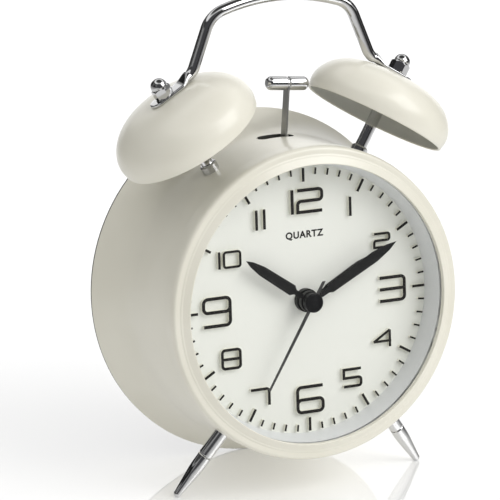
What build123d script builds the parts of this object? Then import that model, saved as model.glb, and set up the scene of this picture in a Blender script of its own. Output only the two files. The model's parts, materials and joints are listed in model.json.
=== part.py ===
from build123d import *
import os
from math import asin, atan2, cos, degrees, radians, sin, sqrt

# Twin-bell alarm clock. Every piece is drawn in the clock's own frame: the origin is the dial's centre at
# the level of the numerals' faces, +X is the right hand of someone reading the dial, +Y goes back into the
# case and +Z points to twelve o'clock. Millimetres. At the end all pieces are tilted back together, because
# the clock leans on its two front feet and the lower edge of its rear rim, and set down on Z = 0.

# ---------------------------------------------------------------- driving dimensions
DIAL_R = 42.0             # outer end of the minute marks
NUMERAL_T = 1.3           # height of the raised numerals and marks
RING_R = 42.7             # dial opening at the foot of the inner ring
APERTURE_R = 44.2         # opening in the bezel
BEZEL_R = 49.7            # bezel skirt
BEZEL_FRONT = -8.9        # y of the bezel's front lip
DRUM_FRONT_R = 48.7       # drum's front edge, inside the bezel
DRUM_FRONT_Y = -4.8
DRUM_WAIST_R = 49.7       # drum where its flare starts
DRUM_WAIST_Y = 20.0
RIM_R = 55.9              # rear rim
RIM_Y = 40.3
WALL = 1.0                # drum wall
COVER_T = 1.3             # back cover's flange
BELL_ANGLE = 31.2         # bell axes, degrees from twelve o'clock
BELL_Y = 12.7             # plane of the bells and the handle
BELL_R = 23.3             # bell at its rim
BELL_RIM_D = 61.8         # distance of a bell's rim plane from the dial's axis
BELL_H = 15.6             # rim to crown
BELL_WALL = 0.9
POST_R = 1.9
STUD_R = 1.45             # M3 stud
HANDLE_R = 1.85
TAB_T = 1.0               # flattened ends of the handle
HAMMER_Y = 19.0           # plane in which the hammer swings
HAMMER_PIVOT_Z = 15.6
HAMMER_LENGTH = 50.6      # pivot to the middle of the head
HAMMER_LEAN = 5.3         # degrees, head towards the right bell
FOOT_ANGLE = 36.0         # feet, degrees from six o'clock
FOOT_TIP_D = 73.5         # dial axis to the end of a foot
FOOT_TIP_Y = 9.7
FOOT_TOP_D = 49.0         # where a foot meets the drum
FOOT_TOP_Y = 4.5
FOOT_R = 2.3
FOOT_END_R = 1.25
FOOT_PAD = 0.15           # depth of the small flat on which a foot stands
HOUR_ANGLE = 305.2        # hands as set: ten past ten
MINUTE_ANGLE = 62.3
SECOND_ANGLE = 211.5
ALARM_ANGLE = 60.3
MOVEMENT_HALF = 28.0      # half the side of the square movement
MOVEMENT_FRONT = 2.1
MOVEMENT_SPLIT = 9.4
MOVEMENT_BACK = 16.8
SHELL_T = 1.0
CELL_R = 7.1              # AA cell
CELL_L = 49.2
RUN = 0.05                # radial clearance of a running fit


# ---------------------------------------------------------------- shared shapes
def rod(radius, y0, y1, x=0.0, z=0.0):
    """Cylinder along Y."""
    return Pos(x, (y0 + y1) / 2, z) * Rot(90, 0, 0) * Cylinder(radius, y1 - y0)


def tube(outer, inner, y0, y1, x=0.0, z=0.0):
    return rod(outer, y0, y1, x, z) - rod(inner, y0 - 1, y1 + 1, x, z)


def block(x0, x1, y0, y1, z0, z1):
    return Pos((x0 + x1) / 2, (y0 + y1) / 2, (z0 + z1) / 2) * Box(x1 - x0, y1 - y0, z1 - z0)


def slab(sketch, y0, y1):
    """A drawing in the dial's plane (x, z) given a thickness along Y."""
    return Pos(0, y1, 0) * extrude(Plane.XZ * sketch, y1 - y0)


def turned(*outline):
    """Solid of revolution about Y from straight and curved edges drawn as (radius, y)."""
    return revolve(make_face(Curve() + list(outline)), Axis.Y)


def lathe(points):
    """Solid of revolution about Y from corner points (radius, y)."""
    return turned(Polyline(*points, points[0]))


def spindle(points):
    """Solid of revolution about Z from corner points (radius, height)."""
    return revolve(Plane.XZ * make_face(Polyline(*points, points[0])), Axis.Z)


def radial(angle, y=0.0):
    """Frame whose +Z runs outwards from the dial's axis, at an angle from twelve o'clock towards +X."""
    return Pos(0, y, 0) * Rot(0, angle, 0)


def polar(distance, angle):
    """(x, z) at an angle measured from +X towards +Z."""
    return distance * cos(radians(angle)), distance * sin(radians(angle))


def hex_nut(across, height, bore):
    body = extrude(RegularPolygon(across / 2, 6, major_radius=False), height)
    return body - Pos(0, 0, height / 2) * Cylinder(bore, 2 * height)


# ---------------------------------------------------------------- gears
TOOTH_TIP = 0.75          # addendum, modules
TOOTH_ROOT = 1.2          # dedendum, modules
ROOT_HALF = 0.27          # half a tooth at its root, in pitches
TIP_HALF = 0.10           # half a tooth at its tip, in pitches


def gear(teeth, module, y0, y1, centre, phase, bore=0.0):
    """Spur gear along Y. phase is the direction of one tooth, degrees from +X towards +Z."""
    pitch = 360 / teeth
    tip = module * (teeth / 2 + TOOTH_TIP)
    root = module * (teeth / 2 - TOOTH_ROOT)
    profile = []
    for tooth in range(teeth):
        for radius, offset in ((root, -ROOT_HALF), (tip, -TIP_HALF), (tip, TIP_HALF), (root, ROOT_HALF)):
            profile.append(polar(radius, phase + (tooth + offset) * pitch))
    outline = make_face(Polyline(*profile, profile[0]))
    if bore:
        outline = outline - Circle(bore)
    return slab(Pos(*centre) * outline, y0, y1)


def mate_phase(phase, teeth, mate_teeth, direction):
    """Phase of the gear lying in a direction from this one, so that its gap meets this gear's tooth."""
    return direction + 180 - (phase - direction) * teeth / mate_teeth + 180 / mate_teeth


# ---------------------------------------------------------------- case
def case_drum():
    """Pressed drum: nearly straight behind the bezel, then flared in one arc out to the rear rim."""
    flare_len = RIM_Y - DRUM_WAIST_Y
    rise = RIM_R - DRUM_WAIST_R
    arc_r = (flare_len ** 2 + rise ** 2) / (2 * rise)
    half = asin(flare_len / arc_r) / 2

    def flare(offset):
        """Arc parallel to the outer flare, this far inside it."""
        radius = arc_r + offset
        centre = DRUM_WAIST_R + arc_r
        ends = [(centre - radius * cos(a), DRUM_WAIST_Y + radius * sin(a)) for a in (0, half, 2 * half)]
        return ThreePointArc(*ends)

    outer = flare(0)
    inner = flare(WALL)
    nose = (DRUM_FRONT_R, DRUM_FRONT_Y)
    nose_in = (DRUM_FRONT_R - WALL, DRUM_FRONT_Y)
    shell = turned(
        Line(nose, outer @ 0), outer, Line(outer @ 1, inner @ 1), inner, Line(inner @ 0, nose_in), Line(nose_in, nose),
    )
    shell = shell - rod(2 * RIM_R, RIM_Y, 2 * RIM_Y)
    lug_y = (33.5, 39.3)
    lug_bore = 1.25
    for angle in COVER_SCREW_ANGLES:
        lug = radial(angle) * Pos(0, sum(lug_y) / 2, COVER_SCREW_R + 1.2) * Box(6, lug_y[1] - lug_y[0], 7.4)
        x, z = polar(COVER_SCREW_R, 90 - angle)
        shell = shell + (lug - rod(lug_bore, lug_y[0] - 1, lug_y[1] + 1, x, z)).intersect(DRUM_INSIDE)
    slot_half, slot_w = 6.3, 5.0
    slot = Pos(0, HAMMER_Y, DRUM_WAIST_R) * extrude(SlotOverall(2 * slot_half, slot_w), 8, both=True)
    shell = shell - slot
    for side in (1, -1):
        shell = shell - radial(side * BELL_ANGLE, BELL_Y) * Pos(0, 0, DRUM_FRONT_R) * Cylinder(STUD_R + 0.1, 8)
        shell = shell - foot_frame(side) * Cylinder(STUD_R + 0.1, 14)
    return shell


COVER_SCREW_ANGLES = (45, 135, 225, 315)
COVER_SCREW_R = 47.6
DRUM_INSIDE = rod(51.6, 30, 40)
DRUM_ENVELOPE = lathe([(0, DRUM_FRONT_Y), (DRUM_FRONT_R, DRUM_FRONT_Y), (DRUM_WAIST_R, DRUM_WAIST_Y),
                       (0, DRUM_WAIST_Y)])


def front_bezel():
    """Pressed ring: skirt, rounded shoulder, a fine bead and a sloping face down to the glass."""
    gauge = 0.7
    skirt_back = -0.5
    shoulder_y = -5.2
    shoulder_r = 2.1
    inner_r = BEZEL_R - gauge
    inner_shoulder_r = shoulder_r - gauge
    shoulder_x = BEZEL_R - shoulder_r
    diagonal = sqrt(0.5)
    bead_top = (shoulder_x, shoulder_y - shoulder_r)
    bead_side = (47.2, -7.75)
    bead_foot = (46.5, -7.75)
    lip_r = 0.25
    lip_start = (APERTURE_R + lip_r, BEZEL_FRONT)
    lip_middle = (APERTURE_R + 0.06, BEZEL_FRONT + 0.08)
    lip_end = (APERTURE_R, BEZEL_FRONT + lip_r + 0.05)
    seat_in = (APERTURE_R, LENS_FRONT)
    seat_out = (LENS_R + 0.1, LENS_FRONT)
    inner_top = (shoulder_x, shoulder_y - inner_shoulder_r)

    def shoulder_middle(radius):
        return shoulder_x + radius * diagonal, shoulder_y - radius * diagonal

    return turned(
        Line((BEZEL_R, skirt_back), (BEZEL_R, shoulder_y)),
        ThreePointArc((BEZEL_R, shoulder_y), shoulder_middle(shoulder_r), bead_top),
        ThreePointArc(bead_top, bead_side, bead_foot),
        Line(bead_foot, lip_start),
        ThreePointArc(lip_start, lip_middle, lip_end),
        Line(lip_end, seat_in),
        Line(seat_in, seat_out),
        Line(seat_out, inner_top),
        ThreePointArc(inner_top, shoulder_middle(inner_shoulder_r), (inner_r, shoulder_y)),
        Line((inner_r, shoulder_y), (inner_r, skirt_back)),
        Line((inner_r, skirt_back), (BEZEL_R, skirt_back)),
    )


LENS_R = 46.4
LENS_FRONT = -7.2
LENS_BACK = -6.0


def lens():
    """Flat clear window held between the bezel and the inner ring."""
    return rod(LENS_R, LENS_FRONT, LENS_BACK)


def dial_ring():
    """Inner ring: a shallow cone from the window down to the dial, with a flange clamped by the bezel."""
    gauge = 1.0
    flange_r = 48.4
    ring = lathe([
        (APERTURE_R, LENS_BACK), (RING_R, NUMERAL_T), (RING_R + gauge, NUMERAL_T),
        (APERTURE_R + gauge, LENS_BACK + gauge), (flange_r, LENS_BACK + gauge), (flange_r, LENS_BACK),
    ])
    return ring - radial(0, LAMP_Y) * Pos(0, 0, APERTURE_R) * Cylinder(LAMP_R + 0.1, 6)


LAMP_Y = -2.6
LAMP_R = 1.5


def dial_lamp():
    """Small lamp behind the inner ring, shining on the dial through a hole at twelve o'clock."""
    body = [(0, 45.2), (LAMP_R - 0.5, 45.2), (LAMP_R, 45.8), (LAMP_R, 47.6), (0, 47.6)]
    return Pos(0, LAMP_Y, 0) * spindle(body)


# ---------------------------------------------------------------- dial
def dial_plate():
    plate_r = 44.0
    return tube(plate_r, NECK_R + RUN, NUMERAL_T, MOVEMENT_FRONT)


def stroke(points, width, corner, closed=False):
    """One pen stroke of a numeral, its inner corners rounded to the given radius (0 leaves one sharp)."""
    if closed:
        (x0, z0), (x1, z1) = points
        outer = RectangleRounded(x1 - x0 + width, z1 - z0 + width, corner + width / 2)
        inner = RectangleRounded(x1 - x0 - width, z1 - z0 - width, corner - width / 2)
        return Pos((x0 + x1) / 2, (z0 + z1) / 2) * (outer - inner)
    if len(points) == 2:
        return trace(Line(*points), width)
    return trace(FilletPolyline(*points, radius=corner), width)


def digit(figure, x0, x1, z0, z1, width):
    """Squared figure with rounded corners, drawn on the centre lines of its strokes."""
    mid = (z0 + z1) / 2
    bend = 0.17 * (z1 - z0)
    lower_bar = z0 + 0.36 * (z1 - z0)
    stem = x0 + 0.93 * (x1 - x0)
    box = ((x0, z0), (x1, z1))
    two = [(x0, z1), (x1, z1), (x1, mid), (x0, mid), (x0, z0 + bend)]
    strokes = {
        "0": [(box, True)],
        "1": [(((x0, z0), (x0, z1)), False)],
        "2": [(two, False), (((x0, z0 + bend), (x0, z0)), False), (((x0 - width / 2, z0), (x1, z0)), False)],
        "3": [([(x0, z1), (x1, z1), (x1, z0), (x0, z0)], False), (((x0, mid), (x1, mid)), False)],
        "4": [(((stem, z0), (stem, z1)), False), (((stem, z1), (x0, lower_bar)), False),
              (((x0, lower_bar), (x1, lower_bar)), False)],
        "5": [(((x1, z1), (x0 - width / 2, z1)), False), (((x0, z1), (x0, mid)), False),
              ([(x0 - width / 2, mid), (x1, mid), (x1, z0), (x0, z0)], False)],
        "6": [(((x0, z0), (x1, mid)), True), ([(x1, z1), (x0, z1), (x0, z0 + bend)], False)],
        "7": [([(x0, z1), (x1, z1), (x1, z0)], False)],
        "8": [(box, True), (((x0, mid), (x1, mid)), False)],
        "9": [(((x0, mid), (x1, z1)), True), ([(x0, z0), (x1, z0), (x1, z1 - bend)], False)],
    }
    parts = [stroke(list(points), width, bend, closed) for points, closed in strokes[figure]]
    return slab(Sketch() + parts, 0, NUMERAL_T)


def hour_numerals():
    """Twelve, three, six and nine are large and bold, the other hours small and fine."""
    bold, fine, light = 1.0, 0.85, 0.75
    figures = [
        ("1", -4.1, -4.1, 27.7, 35.4, bold), ("2", -2.2, 6.3, 28.1, 35.0, bold),
        ("1", 16.2, 16.2, 25.1, 31.2, fine),
        ("2", 24.4, 29.8, 13.9, 18.3, light),
        ("3", 26.0, 34.8, -3.6, 3.9, bold),
        ("4", 23.4, 29.6, -18.4, -13.0, light),
        ("5", 12.4, 18.5, -29.6, -24.1, fine),
        ("6", -4.1, 4.8, -35.9, -27.8, bold),
        ("7", -20.3, -14.0, -31.8, -26.5, fine),
        ("8", -29.8, -23.6, -18.5, -12.6, fine),
        ("9", -35.7, -26.6, -4.5, 4.2, bold),
        ("1", -29.8, -29.8, 13.2, 18.6, light), ("0", -28.2, -22.6, 13.5, 18.3, light),
        ("1", -16.6, -16.6, 24.0, 30.3, fine), ("1", -13.9, -13.9, 24.1, 30.4, fine),
    ]
    return [digit(*figure) for figure in figures]


def minute_marks():
    """Sixty raised marks; every fifth is longer and broader."""
    marks = []
    for minute in range(60):
        on_hour = minute % 5 == 0
        length = 4.3 if on_hour else 2.1
        width = 0.8 if on_hour else 0.55
        bar = Pos(0, NUMERAL_T / 2, DIAL_R - length / 2) * Box(width, NUMERAL_T, length)
        marks.append(Rot(0, 6 * minute, 0) * bar)
    return marks


# ---------------------------------------------------------------- hands and their pipes
NECK_R = 2.95             # threaded neck of the movement
ARBOR_R = 0.45            # seconds arbor, then three pipes around it
MINUTE_PIPE = (0.5, 1.0)
HOUR_PIPE = (1.05, 1.6)
ALARM_PIPE = (1.65, 2.25)
ALARM_HAND_Y = (-1.6, -1.3)
HOUR_HAND_Y = (-2.5, -2.1)
MINUTE_HAND_Y = (-3.6, -3.2)
SECOND_HAND_Y = (-4.7, -4.4)
CAP_FRONT = -5.7
HUB_R = 3.3


def hand(length, shoulder, base_half, waist, waist_half, neck_half, angle, levels, hub, pipe):
    """Lance-shaped hand: round hub, narrow neck, chamfered shoulder, slim blade, long taper to a point."""
    near_tip = waist + 0.62 * (length - waist)
    outline = [
        (neck_half, 0), (neck_half, shoulder - 1.1), (base_half, shoulder), (waist_half, waist),
        (0.58 * waist_half, near_tip), (0, length),
    ]
    outline = outline + [(-x, z) for x, z in reversed(outline[:-1])]
    blade = make_face(Polyline(*outline, outline[0]))
    hub_front = levels[0] - 0.4
    body = Rot(0, angle, 0) * slab(blade, *levels) + rod(hub, hub_front, levels[1])
    return body - rod(pipe, hub_front - 1, levels[1] + 1)


def hour_hand():
    return hand(26.6, 7.4, 1.8, 20.0, 1.6, 0.7, HOUR_ANGLE, HOUR_HAND_Y, HUB_R, HOUR_PIPE[1])


def minute_hand():
    return hand(34.3, 7.8, 1.55, 25.5, 1.75, 0.7, MINUTE_ANGLE, MINUTE_HAND_Y, 3.0, MINUTE_PIPE[1])


def alarm_hand():
    return hand(24.8, 7.4, 1.2, 20.0, 1.3, 0.6, ALARM_ANGLE, ALARM_HAND_Y, HUB_R, ALARM_PIPE[1])


def second_hand():
    """Tapered needle with a short counterweight, carried by a turned cap."""
    tail, tip = -7.8, 31.0
    wide, fine = 0.55, 0.24
    needle = make_face(Polyline((-wide, 0), (-fine, tip), (fine, tip), (wide, 0), (0.45, tail + 0.6),
                                (-0.45, tail), (-wide, 0)))
    cap_r = 3.1
    cap = lathe([(0, CAP_FRONT), (cap_r - 0.3, CAP_FRONT), (cap_r, CAP_FRONT + 0.3), (cap_r, SECOND_HAND_Y[1]),
                 (0, SECOND_HAND_Y[1])])
    body = Rot(0, SECOND_ANGLE, 0) * slab(needle, *SECOND_HAND_Y) + cap
    return body - rod(ARBOR_R, SECOND_HAND_Y[0], 0)


def dial_nut():
    """Round nut on the movement's neck; it clamps the dial."""
    return tube(3.7, NECK_R, -0.6, NUMERAL_T)


# ---------------------------------------------------------------- movement
CANNON_TEETH, MINUTE_WHEEL_TEETH = 12, 36
MINUTE_PINION_TEETH, HOUR_TEETH = 10, 40
ALARM_TEETH, SET_TEETH = 60, 12
CENTRE_TEETH, THIRD_PINION_TEETH = 64, 8
THIRD_TEETH, SECOND_PINION_TEETH = 60, 8
SECOND_TEETH, DRIVE_PINION_TEETH = 50, 10
DRIVE_TEETH, ROTOR_TEETH = 48, 8
HOUR_MODULE = 0.35
ALARM_MODULE = 0.36
TRAIN_MODULE = 0.3
DRIVE_MODULE = 0.35
ROTOR_MODULE = 0.25
MINUTE_GAP = HOUR_MODULE * (HOUR_TEETH + MINUTE_PINION_TEETH) / 2
MINUTE_MODULE = 2 * MINUTE_GAP / (CANNON_TEETH + MINUTE_WHEEL_TEETH)
THIRD_GAP = TRAIN_MODULE * (CENTRE_TEETH + THIRD_PINION_TEETH) / 2
THIRD_MODULE = 2 * THIRD_GAP / (THIRD_TEETH + SECOND_PINION_TEETH)
DRIVE_GAP = DRIVE_MODULE * (SECOND_TEETH + DRIVE_PINION_TEETH) / 2
ROTOR_GAP = ROTOR_MODULE * (DRIVE_TEETH + ROTOR_TEETH) / 2
ALARM_GAP = ALARM_MODULE * (ALARM_TEETH + SET_TEETH) / 2
SET_GAP = MINUTE_MODULE * (MINUTE_WHEEL_TEETH + SET_TEETH) / 2
MINUTE_DIR, TIME_SET_DIR, THIRD_DIR, DRIVE_DIR, ROTOR_DIR, ALARM_DIR = 150, 130, 300, 20, -20, 70
CENTRE = (0.0, 0.0)


def step_from(start, distance, angle):
    x, z = polar(distance, angle)
    return start[0] + x, start[1] + z


MINUTE_AXIS = step_from(CENTRE, MINUTE_GAP, MINUTE_DIR)
TIME_SET_AXIS = step_from(MINUTE_AXIS, SET_GAP, TIME_SET_DIR)
THIRD_AXIS = step_from(CENTRE, THIRD_GAP, THIRD_DIR)
DRIVE_AXIS = step_from(CENTRE, DRIVE_GAP, DRIVE_DIR)
ROTOR_AXIS = step_from(DRIVE_AXIS, ROTOR_GAP, ROTOR_DIR)
ALARM_AXIS = step_from(CENTRE, ALARM_GAP, ALARM_DIR)
ALARM_WHEEL_Y = (4.4, 5.2)
HOUR_WHEEL_Y = (5.7, 6.5)
MINUTE_WHEEL_Y = (7.1, 7.9)
MIDDLE_Y = (8.4, 9.0)
CENTRE_WHEEL_Y = (9.5, 10.2)
THIRD_WHEEL_Y = (10.7, 11.4)
SECOND_WHEEL_Y = (11.9, 12.6)
DRIVE_WHEEL_Y = (13.2, 13.9)
PIVOT_R = 0.4
PIVOT_IN = 0.6            # depth of a pivot in its plate
SHAFT_R = 0.95            # setting shafts
BACK_INSIDE = MOVEMENT_BACK - SHELL_T


def movement_front_shell():
    """Front half of the movement's case, with the threaded neck that passes through the dial."""
    half = MOVEMENT_HALF
    depth = (MOVEMENT_FRONT + SHELL_T, MOVEMENT_SPLIT + 1)
    inner = half - SHELL_T
    shell = slab(RectangleRounded(2 * half, 2 * half, 2.5), MOVEMENT_FRONT, MOVEMENT_SPLIT)
    shell = shell - slab(RectangleRounded(2 * inner, 2 * inner, 1.5), *depth)
    shell = shell + rod(NECK_R, -0.6, MOVEMENT_FRONT + 0.2)
    return shell - rod(ALARM_PIPE[1] + RUN, -2, MOVEMENT_FRONT + 2)


def movement_rear_shell():
    half = MOVEMENT_HALF
    inner = half - SHELL_T
    shell = slab(RectangleRounded(2 * half, 2 * half, 2.5), MOVEMENT_SPLIT, MOVEMENT_BACK)
    shell = shell - slab(RectangleRounded(2 * inner, 2 * inner, 1.5), MOVEMENT_SPLIT - 1, BACK_INSIDE)
    for axis in (CENTRE, THIRD_AXIS, DRIVE_AXIS, ROTOR_AXIS):
        shell = shell - rod(PIVOT_R + RUN, BACK_INSIDE - 1, BACK_INSIDE + PIVOT_IN + 0.1, *axis)
    for axis in (TIME_SET_AXIS, ALARM_AXIS):
        shell = shell - rod(SHAFT_R + RUN, BACK_INSIDE - 1, MOVEMENT_BACK + 1, *axis)
    return shell


def middle_plate():
    """Plate that carries the train's front pivots and the motion work's stud."""
    half = MOVEMENT_HALF - SHELL_T - 0.1
    plate = slab(RectangleRounded(2 * half, 2 * half, 1.4), *MIDDLE_Y)
    plate = plate - rod(MINUTE_PIPE[1] + RUN, 8, 10)
    for axis in (MINUTE_AXIS, THIRD_AXIS, DRIVE_AXIS, ROTOR_AXIS):
        plate = plate - rod(PIVOT_R + RUN, 8, 10, *axis)
    for axis in (TIME_SET_AXIS, ALARM_AXIS):
        plate = plate - rod(SHAFT_R + RUN, 8, 10, *axis)
    return plate


def hour_wheel():
    pipe = tube(HOUR_PIPE[1], HOUR_PIPE[0], HOUR_HAND_Y[0], HOUR_WHEEL_Y[1])
    return pipe + gear(HOUR_TEETH, HOUR_MODULE, *HOUR_WHEEL_Y, CENTRE, MINUTE_DIR, HOUR_PIPE[0])


def minute_wheel():
    """Wheel and pinion of the motion work, turning in the middle plate."""
    wheel_phase = mate_phase(MINUTE_DIR, CANNON_TEETH, MINUTE_WHEEL_TEETH, MINUTE_DIR)
    pinion_phase = mate_phase(MINUTE_DIR, HOUR_TEETH, MINUTE_PINION_TEETH, MINUTE_DIR)
    wheel = gear(MINUTE_WHEEL_TEETH, MINUTE_MODULE, *MINUTE_WHEEL_Y, MINUTE_AXIS, wheel_phase)
    pinion = gear(MINUTE_PINION_TEETH, HOUR_MODULE, HOUR_WHEEL_Y[0], MINUTE_WHEEL_Y[1], MINUTE_AXIS, pinion_phase)
    return wheel + pinion + rod(PIVOT_R, MINUTE_WHEEL_Y[1] - 0.2, MIDDLE_Y[1], *MINUTE_AXIS)


def cannon_pinion():
    """Minute hand's pipe with its pinion; the centre wheel drives it through friction."""
    pipe = tube(MINUTE_PIPE[1], MINUTE_PIPE[0], MINUTE_HAND_Y[0], CENTRE_WHEEL_Y[1] + 0.2)
    return pipe + gear(CANNON_TEETH, MINUTE_MODULE, *MINUTE_WHEEL_Y, CENTRE, MINUTE_DIR, MINUTE_PIPE[0])


def alarm_wheel():
    pipe = tube(ALARM_PIPE[1], ALARM_PIPE[0], ALARM_HAND_Y[0], ALARM_WHEEL_Y[1])
    return pipe + gear(ALARM_TEETH, ALARM_MODULE, *ALARM_WHEEL_Y, CENTRE, ALARM_DIR, ALARM_PIPE[0])


def centre_wheel():
    return gear(CENTRE_TEETH, TRAIN_MODULE, *CENTRE_WHEEL_Y, CENTRE, THIRD_DIR, MINUTE_PIPE[1] + RUN)


def arbor(axis, front, back):
    return rod(PIVOT_R, front, back, *axis)


def third_wheel():
    wheel = gear(THIRD_TEETH, THIRD_MODULE, *THIRD_WHEEL_Y, THIRD_AXIS, THIRD_DIR + 180)
    phase = mate_phase(THIRD_DIR, CENTRE_TEETH, THIRD_PINION_TEETH, THIRD_DIR)
    pinion = gear(THIRD_PINION_TEETH, TRAIN_MODULE, CENTRE_WHEEL_Y[0], THIRD_WHEEL_Y[1], THIRD_AXIS, phase)
    return wheel + pinion + arbor(THIRD_AXIS, MIDDLE_Y[0], BACK_INSIDE + PIVOT_IN)


def second_wheel():
    """Seconds arbor: it carries the second hand in front and runs the length of the movement."""
    phase = mate_phase(THIRD_DIR + 180, THIRD_TEETH, SECOND_PINION_TEETH, THIRD_DIR + 180)
    pinion = gear(SECOND_PINION_TEETH, THIRD_MODULE, THIRD_WHEEL_Y[0], SECOND_WHEEL_Y[1], CENTRE, phase)
    wheel = gear(SECOND_TEETH, DRIVE_MODULE, *SECOND_WHEEL_Y, CENTRE, DRIVE_DIR)
    return wheel + pinion + rod(ARBOR_R, SECOND_HAND_Y[0], THIRD_WHEEL_Y[1]) + arbor(
        CENTRE, SECOND_WHEEL_Y[0], BACK_INSIDE + PIVOT_IN)


def drive_wheel():
    wheel = gear(DRIVE_TEETH, ROTOR_MODULE, *DRIVE_WHEEL_Y, DRIVE_AXIS, ROTOR_DIR)
    phase = mate_phase(DRIVE_DIR, SECOND_TEETH, DRIVE_PINION_TEETH, DRIVE_DIR)
    pinion = gear(DRIVE_PINION_TEETH, DRIVE_MODULE, SECOND_WHEEL_Y[0], DRIVE_WHEEL_Y[1], DRIVE_AXIS, phase)
    return wheel + pinion + arbor(DRIVE_AXIS, MIDDLE_Y[0], BACK_INSIDE + PIVOT_IN)


MAGNET_R = 2.0
MAGNET_Y = (11.0, 12.9)


def stepper_rotor():
    phase = mate_phase(ROTOR_DIR, DRIVE_TEETH, ROTOR_TEETH, ROTOR_DIR)
    pinion = gear(ROTOR_TEETH, ROTOR_MODULE, MAGNET_Y[1], DRIVE_WHEEL_Y[1], ROTOR_AXIS, phase)
    magnet = rod(MAGNET_R, *MAGNET_Y, *ROTOR_AXIS)
    return magnet + pinion + arbor(ROTOR_AXIS, MIDDLE_Y[0], BACK_INSIDE + PIVOT_IN)


COIL_X = 24.0
STATOR_Y = (11.7, 12.3)
CORE_HALF = 0.9


def stepper_stator():
    """Soft-iron plate: a ring around the magnet and a core that carries the coil."""
    x, z = ROTOR_AXIS
    reach, arm = 14.0, 2.4
    outline = Pos(x, z) * Circle(4.2) + Pos(x, 0) * Rectangle(3.6, 2 * reach)
    for end in (reach - arm / 2, -reach + arm / 2):
        outline = outline + Pos((x + COIL_X) / 2, end) * Rectangle(COIL_X - x + 2 * CORE_HALF, arm)
    outline = outline + Pos(COIL_X, 0) * Rectangle(2 * CORE_HALF, 2 * reach)
    return slab(outline - Pos(x, z) * Circle(MAGNET_R + 0.35), *STATOR_Y)


def stepper_coil():
    """Bobbin with its winding, threaded over the stator's core."""
    y = sum(STATOR_Y) / 2
    half = 10.6
    flange, wound = 2.9, 2.5
    body = Pos(COIL_X, y, 0) * (Cylinder(wound, 2 * half) + Pos(0, 0, half - 0.5) * Cylinder(flange, 1)
                                + Pos(0, 0, 0.5 - half) * Cylinder(flange, 1))
    return body - block(COIL_X - CORE_HALF, COIL_X + CORE_HALF, *STATOR_Y, -half - 1, half + 1)


BOARD_Y = (14.6, 15.4)


def circuit_board():
    """Board with its chip and the small metal can of the tuning-fork crystal."""
    board = slab(Pos(-15.5, -15.5) * RectangleRounded(21, 21, 1), *BOARD_Y)
    chip = block(-20, -14, 13.4, BOARD_Y[0], -20, -14)
    crystal = Pos(-14.5, BOARD_Y[0] - 0.9, -9.5) * Rot(0, 90, 0) * Cylinder(1.0, 6.2)
    return board + chip + crystal


def movement_screws():
    """Four screws that close the movement's case."""
    place = MOVEMENT_HALF - 3.0
    screws = []
    for x in (place, -place):
        for z in (place, -place):
            screws.append(rod(1.5, MOVEMENT_BACK, MOVEMENT_BACK + 0.8, x, z)
                          - block(x - 1.6, x + 1.6, MOVEMENT_BACK + 0.4, MOVEMENT_BACK + 1, z - 0.25, z + 0.25))
    return screws


# ---------------------------------------------------------------- setting knobs
KNOB_Y = (42.2, 50.0)
KNOB_R = 5.4


def set_shaft(axis, gear_y, module, phase):
    shaft = rod(SHAFT_R, gear_y[0], KNOB_Y[0] + 4, *axis)
    return shaft + gear(SET_TEETH, module, *gear_y, axis, phase)


def time_set_shaft():
    wheel_phase = mate_phase(MINUTE_DIR, CANNON_TEETH, MINUTE_WHEEL_TEETH, MINUTE_DIR)
    phase = mate_phase(wheel_phase, MINUTE_WHEEL_TEETH, SET_TEETH, TIME_SET_DIR)
    return set_shaft(TIME_SET_AXIS, MINUTE_WHEEL_Y, MINUTE_MODULE, phase)


def alarm_set_shaft():
    phase = mate_phase(ALARM_DIR, ALARM_TEETH, SET_TEETH, ALARM_DIR)
    return set_shaft(ALARM_AXIS, ALARM_WHEEL_Y, ALARM_MODULE, phase)


def set_knob(axis):
    """Moulded knob with a ribbed grip, pressed on its shaft."""
    ribs = 24
    rib_r = 0.35
    knob = rod(KNOB_R, *KNOB_Y, *axis)
    knob = chamfer(knob.edges().sort_by(Axis.Y)[-1], 0.6)
    for rib in range(ribs):
        x, z = step_from(axis, KNOB_R, 360 * rib / ribs)
        knob = knob - rod(rib_r, KNOB_Y[0] + 1.6, KNOB_Y[1] + 1, x, z)
    return knob - rod(SHAFT_R, KNOB_Y[0] - 1, KNOB_Y[0] + 4, *axis)


# ---------------------------------------------------------------- striking work
STRIKER_Z = 2.2
CRANK_R = (HAMMER_PIVOT_Z - STRIKER_Z) * sin(radians(HAMMER_LEAN))
STRIKER_TEETH, MOTOR_TEETH = 36, 9
STRIKER_MODULE = 0.5
STRIKER_GEAR_Y = (22.6, 24.4)
MOTOR_X = STRIKER_MODULE * (STRIKER_TEETH + MOTOR_TEETH) / 2
BRACKET_Y = (26.0, 27.0)
LEVER_Y = (19.75, 20.75)
CRANK_GAP = 0.3           # the crank pin stops this far short of the lever
PIN_R = 1.0
MOTOR_R = 6.0
MOTOR_BACK = 39.0
MOTOR_SHAFT_R = 0.5


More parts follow.
